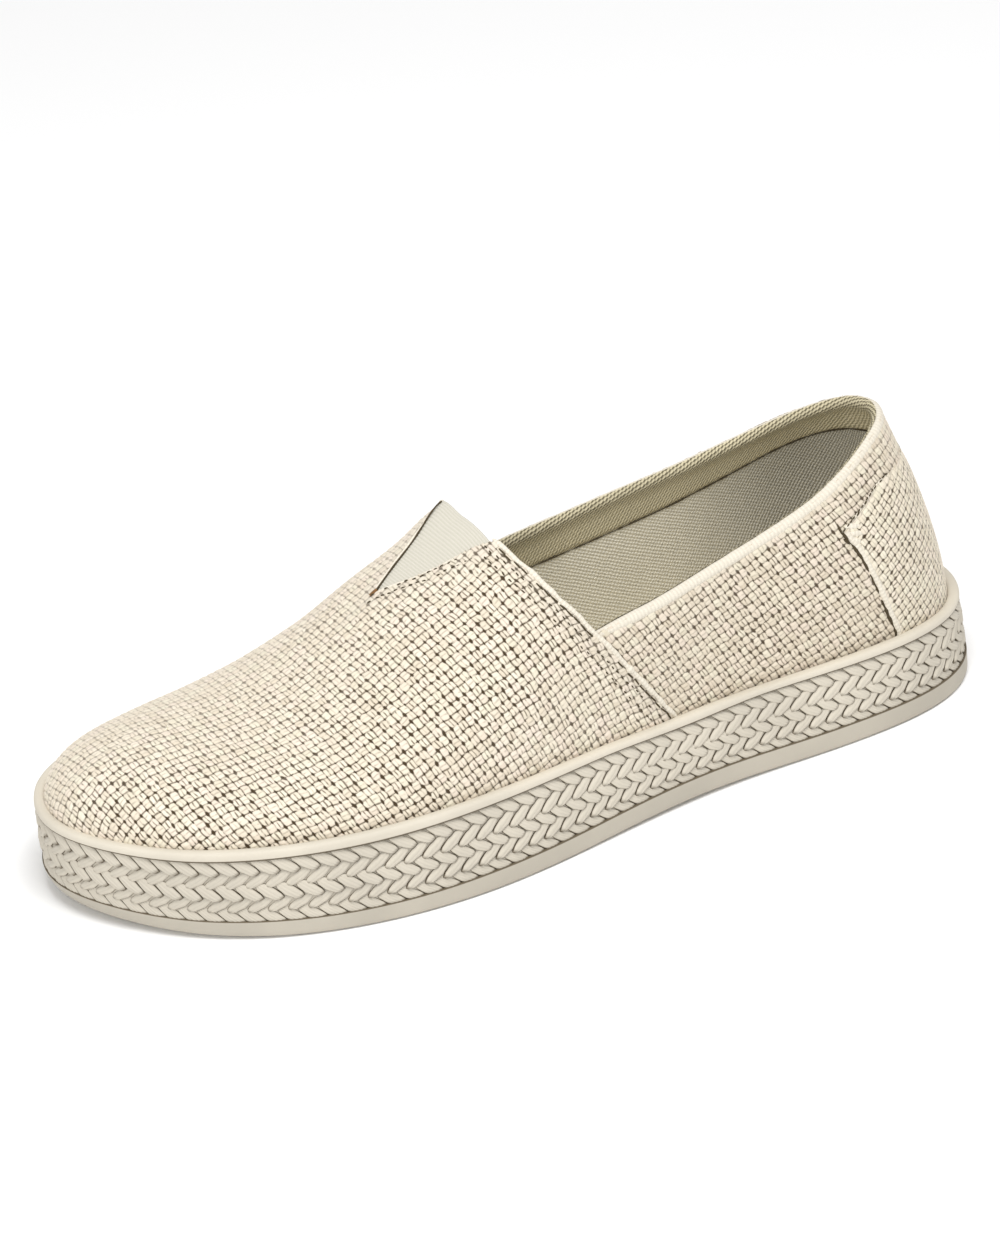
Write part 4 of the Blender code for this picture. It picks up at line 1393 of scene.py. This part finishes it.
def makeSeams():
    # Thin dark rolls of painted shade along the facing's lower edge, beside the notch's far edge and ahead of
    # the patch's front edge, stitch gaps dark with painted shade along the patch's top, and the brown tack
    # thread at the notch's point.
    edge = facingGrid[:, -1]
    made = [makeRoll("facingSeam", lifted(edge, -0.30), 0.19, "seamShade", 6, 0.35)]
    line = lifted(notchLine(-1), -0.25) + (0, 0.50, 0)
    line[:, 2] += 0.85 * goreSet["farRise"] * atRear(line[:, 0])
    made.append(makeRoll("notchShadow", line, 0.27, "seamShade", 6, 0.1))
    for side, label in sides.items():
        front, top = counterLine(side)
        ahead = lifted(front, 0.10) + (0.35, 0, 0)
        thick = taperedEnds(ahead, 0.50, 0.5, 0.6)
        made.append(makeRoll(label + "PatchSeam", wandering(ahead, 0.12, 2.2), thick, "seamShade", 6, 0.4))
        made.append(sewRow(label + "PatchTopStitches", lifted(top[:15], 0.22) + 0.35 * upward, 1.5, 0.42))
    tip = upperForm(shareAt(np.linspace(apexX - 1.6, apexX + 0.6, 7), 1), 1.0, 1) + (0, 0.2, 0.25)
    made.append(makeRoll("apexTack", tip, 0.5, "tack", 6, 0.3))
    return made


def makePuckers():
    # Cloth drawn up at the patch's upper front corners; the thin dark rolls are painted shade in its creases.
    made = []
    run = np.linspace(0, 1, 9)
    for side, label in sides.items():
        for number, (start, end, thick, finishName) in enumerate(puckers, 1):
            first, second = startPoint(*start, side), startPoint(*end, side)
            line = first + run[:, None] * (second - first)
            line = lifted(line, 0.1 if finishName == "seamShade" else 0.85 - thick)
            thick = thick * (0.25 + 0.75 * np.sin(np.pi * run) ** 0.7)
            made.append(makeRoll(f"{label}Pucker{number}", line, thick, finishName, 10, 0.08))
    return made


def makeGore():
    columns = goreSet["columns"]
    rows = int((goreSet["front"] - goreSet["rear"]) / goreSet["pitch"]) * goreSet["samples"] + 1
    x = np.linspace(goreSet["rear"], goreSet["front"], rows)
    openHalf = np.maximum(notchHalf(x), 0)
    wings = []
    for side in sides:
        reach = (openHalf + goreSet["under"])[:, None] * np.linspace(1, 0, columns)[None, :]
        u = np.broadcast_to(shareAt(x, side)[:, None], reach.shape)
        w = acrossLevel(u, x[:, None], reach, side)
        w[:, -1] = 1
        wings.append(upperForm(u, w, side))
    grid = np.concatenate([wings[0], wings[1][:, -2::-1]], axis=1)
    for row, reach in zip(grid, openHalf):
        middle = row[columns - 1, 1]
        off = row[:, 1] - middle
        low, high = np.interp([middle - reach, middle + reach], row[::-1, 1], row[::-1, 2])
        share = np.clip((off + reach) / max(2 * reach, 0.1), 0, 1)
        row[:, 2] += goreSet["taut"] * (np.abs(off) < reach) * (low + (high - low) * share - row[:, 2])
        far = smoothStep(-off, 0.15 * reach, 1.1 * reach + 0.1)
        crown = np.clip(1 - (off / max(reach, 0.1)) ** 2, 0, 1)
        rear = atRear(row[0, 0])
        row[:, 2] += rear * (goreSet["farRise"] * far + goreSet["bow"][0] * crown)
        row[:, 0] -= rear * (goreSet["farBack"] * far + goreSet["bow"][1] * crown)
    normals = gridNormals(grid)
    normals = normals * np.sign(normals[..., 2:3])
    rib = np.abs(np.sin(np.pi * np.arange(rows) / goreSet["samples"]))[:, None] * np.ones(grid.shape[1])
    top = grid - normals * (goreSet["sunk"] - goreSet["relief"] * rib[..., None])
    points = np.concatenate([top, grid - normals * (goreSet["sunk"] + goreSet["thick"])])
    # The top, the underside and the wall between them.
    r, c = rib.shape
    ring = [*range(0, r * c, c), *range((r - 1) * c + 1, r * c)]
    ring += [*range((r - 1) * c - 1, 0, -c), *range(c - 2, 0, -1)]
    wall = [(a, b, b + r * c, a + r * c) for a, b in zip(ring, ring[1:] + ring[:1])]
    faces = [*gridFaces(r, c), *(gridFaces(r, c, flip=True) + r * c), *wall]
    mesh = makeMesh("gore", points, faces, cloth=points * (1, 1, 0), rib=np.concatenate([rib, 0 * rib]))
    return addPiece("goreElastic", outwardMesh(mesh), "elastic")


gore = makeGore()
stitches = makeStitches()
seams = makeSeams() + makePuckers()
print("stitches", len(stitches), "seams", len(seams))
print("gore", len(gore.data.polygons))


# The sole: one cup of rubber with a rim bead, a plaited side and a plain band.
soleSet = {
    "columns": 200,        # along each half
    "inside": -3.0,        # how far in the hidden faces lie
    # station, height of the groove under the rim bead, then of the rim's top and the band's
    "groove": (
        (0.00, 23.2), (0.05, 23.4), (0.12, 23.5), (0.28, 24.1), (0.37, 23.2),
        (0.50, 25.2), (0.62, 25.8), (0.76, 25.0), (0.92, 24.5), (1.00, 24.8),
    ),
    "rimTop": (
        (0.00, 24.7), (0.03, 25.0), (0.09, 25.8), (0.18, 26.0), (0.30, 25.9), (0.40, 25.8), (0.49, 27.2),
        (0.56, 28.0), (0.64, 28.6), (0.72, 28.3), (0.80, 27.8), (0.89, 27.4), (0.94, 27.1), (1.00, 26.9),
    ),
    "band": (
        (0.00, 6.0), (0.20, 6.3), (0.45, 6.1), (0.62, 5.8),
        (0.72, 5.2), (0.85, 4.9), (0.93, 4.8), (1.00, 4.8),
    ),
    # offset, share of the way from the groove to the rim's top, painted crease shade
    "rimProfile": (
        (-1.6, -0.20, 1.0), (-0.4, -0.06, 1.0), (0.55, -0.03, 1.0), (0.72, 0.00, 1.0), (0.76, 0.13, 1.0),
        (0.79, 0.18, 0.0), (0.81, 0.28, 0.0), (0.78, 0.50, 0.0), (0.68, 0.70, 0.0), (0.38, 0.87, 0.0),
        (-0.10, 0.97, 0.0), (-0.80, 1.00, 0.0), (-1.60, 0.98, 0.0), (-2.20, 0.90, 0.0), (-2.60, 0.74, 0.1),
        (-2.75, 0.30, 0.6), (-2.75, -0.60, 1.0),
    ),
    # offset, share of the band's height, painted crease shade
    "bandProfile": (
        (-1.6, 0.98, 1.0), (-0.30, 0.98, 1.0), (0.42, 1.00, 1.0), (0.57, 0.97, 0.9), (0.62, 0.92, 0.0),
        (0.64, 0.80, 0.0), (0.68, 0.45, 0.0), (0.72, 0.15, 0.0), (0.60, 0.05, 0.0), (0.20, 0.00, 0.0),
    ),
    # offset and share of the height of the footbed
    "footbedProfile": ((-0.6, 0.0), (0.0, 0.15), (0.0, 0.70), (-0.25, 0.90), (-0.9, 1.0)),
}
grooveHeight, beadHeight, bandHeight = (tableCurve(soleSet[key], 1) for key in ("groove", "rimTop", "band"))


def toeTrim(x):
    # The sole stands out less round the very toe.
    start, most = last["toeTrim"]
    return most * smoothStep(x / last["length"], start, 1.0)


def bandTop(x):
    return bandHeight(x) + groundLift(x)


def between(low, high, share):
    # The curve this share of the way from one to the other.
    return lambda x: low(x) + share * (high(x) - low(x))


def soleLoop(offset, height, count=soleSet["columns"]):
    # A closed loop round the sole. Height is a function of x, and offset is one or a number.
    loop = []
    for side in sides:
        u = np.linspace(0, 1, count)
        x, _ = outlinePoint(u, side)
        out = offset(x) if callable(offset) else offset
        points = np.stack([*outlinePoint(u, side, out - toeTrim(x)), height(x)], axis=-1)
        loop.append(points if side > 0 else points[-2:0:-1])
    return np.concatenate(loop)


def loftMesh(name, loops, creaseRows=0.0, caps=(), wrap=False, **layers):
    # A surface through loops round the sole, from the lowest outwards and up, with caps on these rows.
    grid = np.stack(loops)
    rows, columns = grid.shape[:2]
    faces = [*gridFaces(rows, columns, wrapRows=wrap, wrapColumns=True, flip=True)]
    half = columns // 2
    for row in caps:
        base = row * columns
        far = base + columns
        rungs = [(base, base + 1, far - 1)]
        rungs += [(base + i, base + i + 1, far - i - 1, far - i) for i in range(1, half - 1)]
        rungs += [(base + half - 1, base + half, base + half + 1)]
        faces += [rung[::-1] for rung in rungs] if row else rungs
    # Painted crease shade, one value a row.
    crease = np.repeat(np.broadcast_to(creaseRows, rows), columns)
    return outwardMesh(makeMesh(name, grid, faces, crease=crease, **layers))


def makeRim():
    # The smooth bead: from the groove up over the edge and down inside the cup.
    profile = soleSet["rimProfile"]
    loops = [soleLoop(offset, between(grooveHeight, beadHeight, level)) for offset, level, _ in profile]
    return addPiece("rimBead", loftMesh("rimBead", loops, [row[2] for row in profile], wrap=True), "rubber")


plaitSet = {
    "count": 118,
    "slope": 36.0,
    "core": -0.85,        # behind the plait's face
    "roll": 0.16,        # how much prouder each strand's lower flank is
    "toeStart": 0.66,        # towards the toe the other hand's strands come to the top
    "toeFull": 0.84,
    "toeSwap": {1: 0.38, -1: -0.12},
    # how far the side stands out at these levels: by the sole's flare, and of itself
    "levels": (0, 0.05, 0.5, 1.0),
    "spread": (0.95, 0.9, 0.5, 0.0),
    "base": (-0.1, 0.1, 0.4, 0.35),
    # level, hand, length, breadth, plump, creases, taper, slip in pitches, set back, tilt
    "rows": (
        (0.905, -1, 9.4, 3.85, 1.20, (0.30, -0.25), 0.60, -0.05, 0.25, 0.17),
        (0.675, 1, 9.4, 3.60, 1.25, (0.05,), 0.80, 0.577, 0.0, 0.10),
        (0.476, -1, 8.8, 3.85, 1.10, (0.20, -0.35), 0.64, 0.105, 0.0, 0.10),
        (0.280, 1, 9.4, 3.60, 1.25, (0.05,), 0.80, 0.634, 0.0, 0.10),
        (0.072, -1, 8.4, 3.75, 0.95, (0.42, 0.0, -0.42), 0.30, 0.141, 0.15, 0.10),
    ),
}


def wallLoop(level, behind, count=soleSet["columns"]):
    # Round the plaited side, at this share of the way from band to groove.
    spread, base = (np.interp(level, plaitSet["levels"], plaitSet[key]) for key in ("spread", "base"))
    height = between(bandTop, grooveHeight, level)
    return soleLoop(lambda x: base + spread * flare(x) + behind, height, count)


def strandMesh(hand, length, breadth, plump, creasePlaces, taper, tilt):
    # One strand of the plait, lying in x and y and rising in z, lower end outwards.
    along = (-1, -0.9, -0.62, 0, 0.62, 0.9, 1)
    across = {-1.0, -0.93, -0.82, 0.82, 0.93, 1.0}
    for place in creasePlaces:
        across |= {place - 0.15, place, place + 0.15}
    p, q = np.meshgrid(along, sorted(across), indexing="ij")
    slope = math.radians(plaitSet["slope"])
    own, other = (np.array([math.cos(slope), sign * hand * math.sin(slope)]) for sign in (1, -1))
    width = 1 - taper * np.abs(p) ** 2.4
    bend = 0.14 * (1 - p**2) * hand        # a leaf's upper flank is the fuller one
    flat = p[..., None] * own * length / 2 + ((q + bend) * width)[..., None] * other * breadth / 2
    height = plump * (1 - np.abs(p) ** 4) ** 0.5 * (1 - np.abs(q) ** 3.2) ** 0.6
    # Painted shade round the strand's edges and down its creases.
    crease = np.clip((np.maximum(np.abs(p), np.abs(q)) - 0.82) / 0.11, 0, 1) ** 1.3
    for place in creasePlaces:
        line = np.exp(-((q - place) / 0.10) ** 2) * (1 - p**4)
        height = height - 0.20 * line
        crease = np.maximum(crease, 0.34 * line)
    height = height + plaitSet["roll"] * hand * q * np.clip(1 - p**2, 0, 1)
    points = np.stack([flat[..., 0], flat[..., 1], height - tilt * flat[..., 1]], axis=-1)
    return makeMesh("strand", points, gridFaces(*p.shape, flip=hand > 0), around=0, crease=crease)


def sideLoop(level):
    # From the toe round the outer side to the heel and back along the inner side.
    loop = wallLoop(level, plaitSet["core"], 600)
    return np.roll(loop[::-1], len(loop) // 2, axis=0)


def rowPath(level, hand, slip, back):
    # All rows share the middle row's spacing, so that they stay locked together.
    middle = sideLoop(0.47)
    run = distances(np.concatenate([middle, middle[:1]]))
    places = (np.arange(plaitSet["count"]) + slip) % plaitSet["count"] * run[-1] / plaitSet["count"]
    loop = sideLoop(level)
    heading = unit(np.roll(loop, -1, axis=0) - np.roll(loop, 1, axis=0))
    columns = np.concatenate([loop, heading], axis=1)
    values = placesAlong(places, run, np.concatenate([columns, columns[:1]]))
    points, heading = values[:, :3], unit(values[:, 3:])
    x = points[:, 0]
    tip = flare(x) / (grooveHeight(x) - bandTop(x))
    facing = unit(unit(np.cross(heading, upward)) + tip[:, None] * upward)
    toe = smoothStep(x / last["length"], plaitSet["toeStart"], plaitSet["toeFull"])
    back = back + toe * plaitSet["toeSwap"][hand]
    return points - back[:, None] * facing, facing, heading


def makePlait():
    made = []
    for number, (level, *figures, slip, back, tilt) in enumerate(plaitSet["rows"], 1):
        places = rowPath(level, figures[0], slip, back)
        made.append(copyAlong(f"plaitRow{number}", strandMesh(*figures, tilt), *places, "plait"))
    return made


def makeWall():
    # The bed that shows in the plait's gaps, darkened with painted shade, and the grooves above and below it.
    loops = [wallLoop(level, plaitSet["core"] + 0.1) for level in (-0.06, *np.linspace(0, 1, 9))]
    loops += [soleLoop(soleSet["inside"], between(bandTop, grooveHeight, level)) for level in (0.97, -0.06)]
    return addPiece("soleWall", loftMesh("soleWall", loops, 0.4, wrap=True), "plait")


def bandOffset(offset, level):
    start, tuck = last["toeRoll"]

    def out(x):
        roll = np.clip((x / last["length"] - start) / (1 - start), 0, 1)
        return offset + flare(x) - tuck * roll**1.4 * (1 - level) ** 1.5

    return out


def makeBand():
    profile = soleSet["bandProfile"]
    loops = [soleLoop(soleSet["inside"], bandTop)]
    for offset, level, _ in profile:
        loops.append(soleLoop(bandOffset(offset, level), between(groundLift, bandTop, level)))
    mesh = loftMesh("bottomBand", loops, [1.0] + [row[2] for row in profile], caps=(0,))
    return addPiece("bottomBand", mesh, "band")


treadSet = {
    "bars": ((0.075, 0.215), (0.520, 0.690)),        # stations, under the heel and the forefoot
    "pitch": 9.0,
    "groove": (2.4, 1.2),        # width and depth
    "margin": 9.0,
    "columns": 41,
    "ends": (0.02, 0.12, 0.3, 0.55, 0.85),        # rows close to either end, then every step
    "step": 0.6,
}


def bottomEdge(side):
    # x and y along the band's bottom edge, in order of x.
    u = np.linspace(0, 1, 600)
    baseX, _ = outlinePoint(u, side)
    x, y = outlinePoint(u, side, bandOffset(0.2, 0.0)(baseX) - toeTrim(baseX))
    order = np.argsort(x)
    return x[order], y[order]


def makeTread():
    # The underside, with bars cut across heel and forefoot.
    paths = [bottomEdge(side) for side in sides]
    rear, front = max(path[0][0] for path in paths), min(path[0][-1] for path in paths)
    ends = np.array(treadSet["ends"])
    x = [rear + ends, np.arange(rear + 1.3, front - 1.2, treadSet["step"]), front - ends[::-1]]
    across = np.linspace(1, -1, treadSet["columns"])
    pitch, margin = treadSet["pitch"], treadSet["margin"]
    width, depth = treadSet["groove"]
    grid = []
    for v in np.concatenate(x):
        outer, inner = (np.interp(v, *path) for path in paths)
        middle = (outer + inner) / 2
        y = across * np.where(across > 0, outer - middle, middle - inner) + middle
        z = groundLift(v) + 0 * y
        away = np.minimum(outer - y, y - inner)
        for start, end in np.array(treadSet["bars"]) * last["length"]:
            phase = (v - start + pitch / 2) % pitch - pitch / 2
            cut = (start - width < v < end + width) * smoothStep(away, margin - 0.8, margin)
            z = z + depth * cut * (1 - smoothStep(abs(phase), width / 2 - 0.5, width / 2))
        grid.append(np.stack([v + 0 * y, y, z], axis=-1))
    grid = np.array(grid)
    mesh = makeMesh("tread", grid, gridFaces(*grid.shape[:2]), crease=np.zeros(grid[..., 0].size))
    mesh.flip_normals()        # it faces down
    return addPiece("tread", mesh, "rubber")


def makeFootbed():
    loops = []
    for out, share in soleSet["footbedProfile"]:
        def height(x, share=share):
            return last["floor"] + groundLift(x) + share * last["insoleHeight"]
        loops.append(soleLoop(out - last["insoleInset"], height, 120))
    cloth = (np.stack(loops) - centre) * (1, 1, 0)
    mesh = loftMesh("footbed", loops, caps=(0, len(loops) - 1), cloth=cloth)
    return addPiece("footbed", mesh, "footbed")


rim = makeRim()
plait = makePlait()
wall = makeWall()
band = makeBand()
tread = makeTread()
footbed = makeFootbed()
print("sole", [len(piece.data.polygons) for piece in plait])


# Floor, light and camera, in metres.
stageSet = {
    "reach": 6.0,
    "drop": 0.0004,        # the floor lies this far under the sole
    "floor": (0.97, 0.97, 0.97, 1),
    "world": 0.63,
    "aim": (0, 0, 0.04),
    # name, place, size, power
    "lights": (("top", (0.12, 0.50, 1.32), 0.8, 13.4), ("front", (1.2, 0.8, 0.7), 0.9, 6.0)),
}


def makeStage():
    mesh = bpy.data.meshes.new("floor")
    reach, level = stageSet["reach"], -stageSet["drop"]
    corners = [(x * reach, y * reach, level) for x, y in ((-1, -1), (1, -1), (1, 1), (-1, 1))]
    mesh.from_pydata(corners, [], [(0, 1, 2, 3)])
    made, _, shader = newMaterial("paleFloor", 0.9)
    shader.inputs["Base Color"].default_value = stageSet["floor"]
    mesh.materials.append(made)
    addPiece("floor", mesh)
    world = bpy.data.worlds.new("studio")
    world.use_nodes = True
    background = world.node_tree.nodes["Background"]
    background.inputs[0].default_value = (1, 1, 1, 1)
    background.inputs[1].default_value = stageSet["world"]
    bpy.context.scene.world = world
    for name, place, size, power in stageSet["lights"]:
        light = bpy.data.objects.new(name, bpy.data.lights.new(name, "AREA"))
        light.data.size = size
        light.data.energy = power
        light.location = place
        light.rotation_mode = "QUATERNION"
        light.rotation_quaternion = (Vector(place) - Vector(stageSet["aim"])).to_track_quat("Z", "Y")
        bpy.context.scene.collection.objects.link(light)
    bpy.context.scene.view_settings.view_transform = "Standard"


makeStage()
makeCamera()


# Every piece rides on the shoe's one body.
def settle(pieces, slot, *nodes):
    for number, piece in enumerate(pieces):
        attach(piece, "root")
        if number == 0 and nodes:
            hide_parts(*nodes)


settle([vamp, *quarters, *edges, *stitches, *seams], "canvas", "upper")
settle([heelPatch], "canvas", "heel_counter")
settle([gore], "elastic", "elastic_gore")
settle([*linings, facing], "footbed")
settle([footbed], "footbed", "insole")
settle([wall, rim, *plait], "rubber", "midsole")
settle([band, tread], "rubber", "outsole")
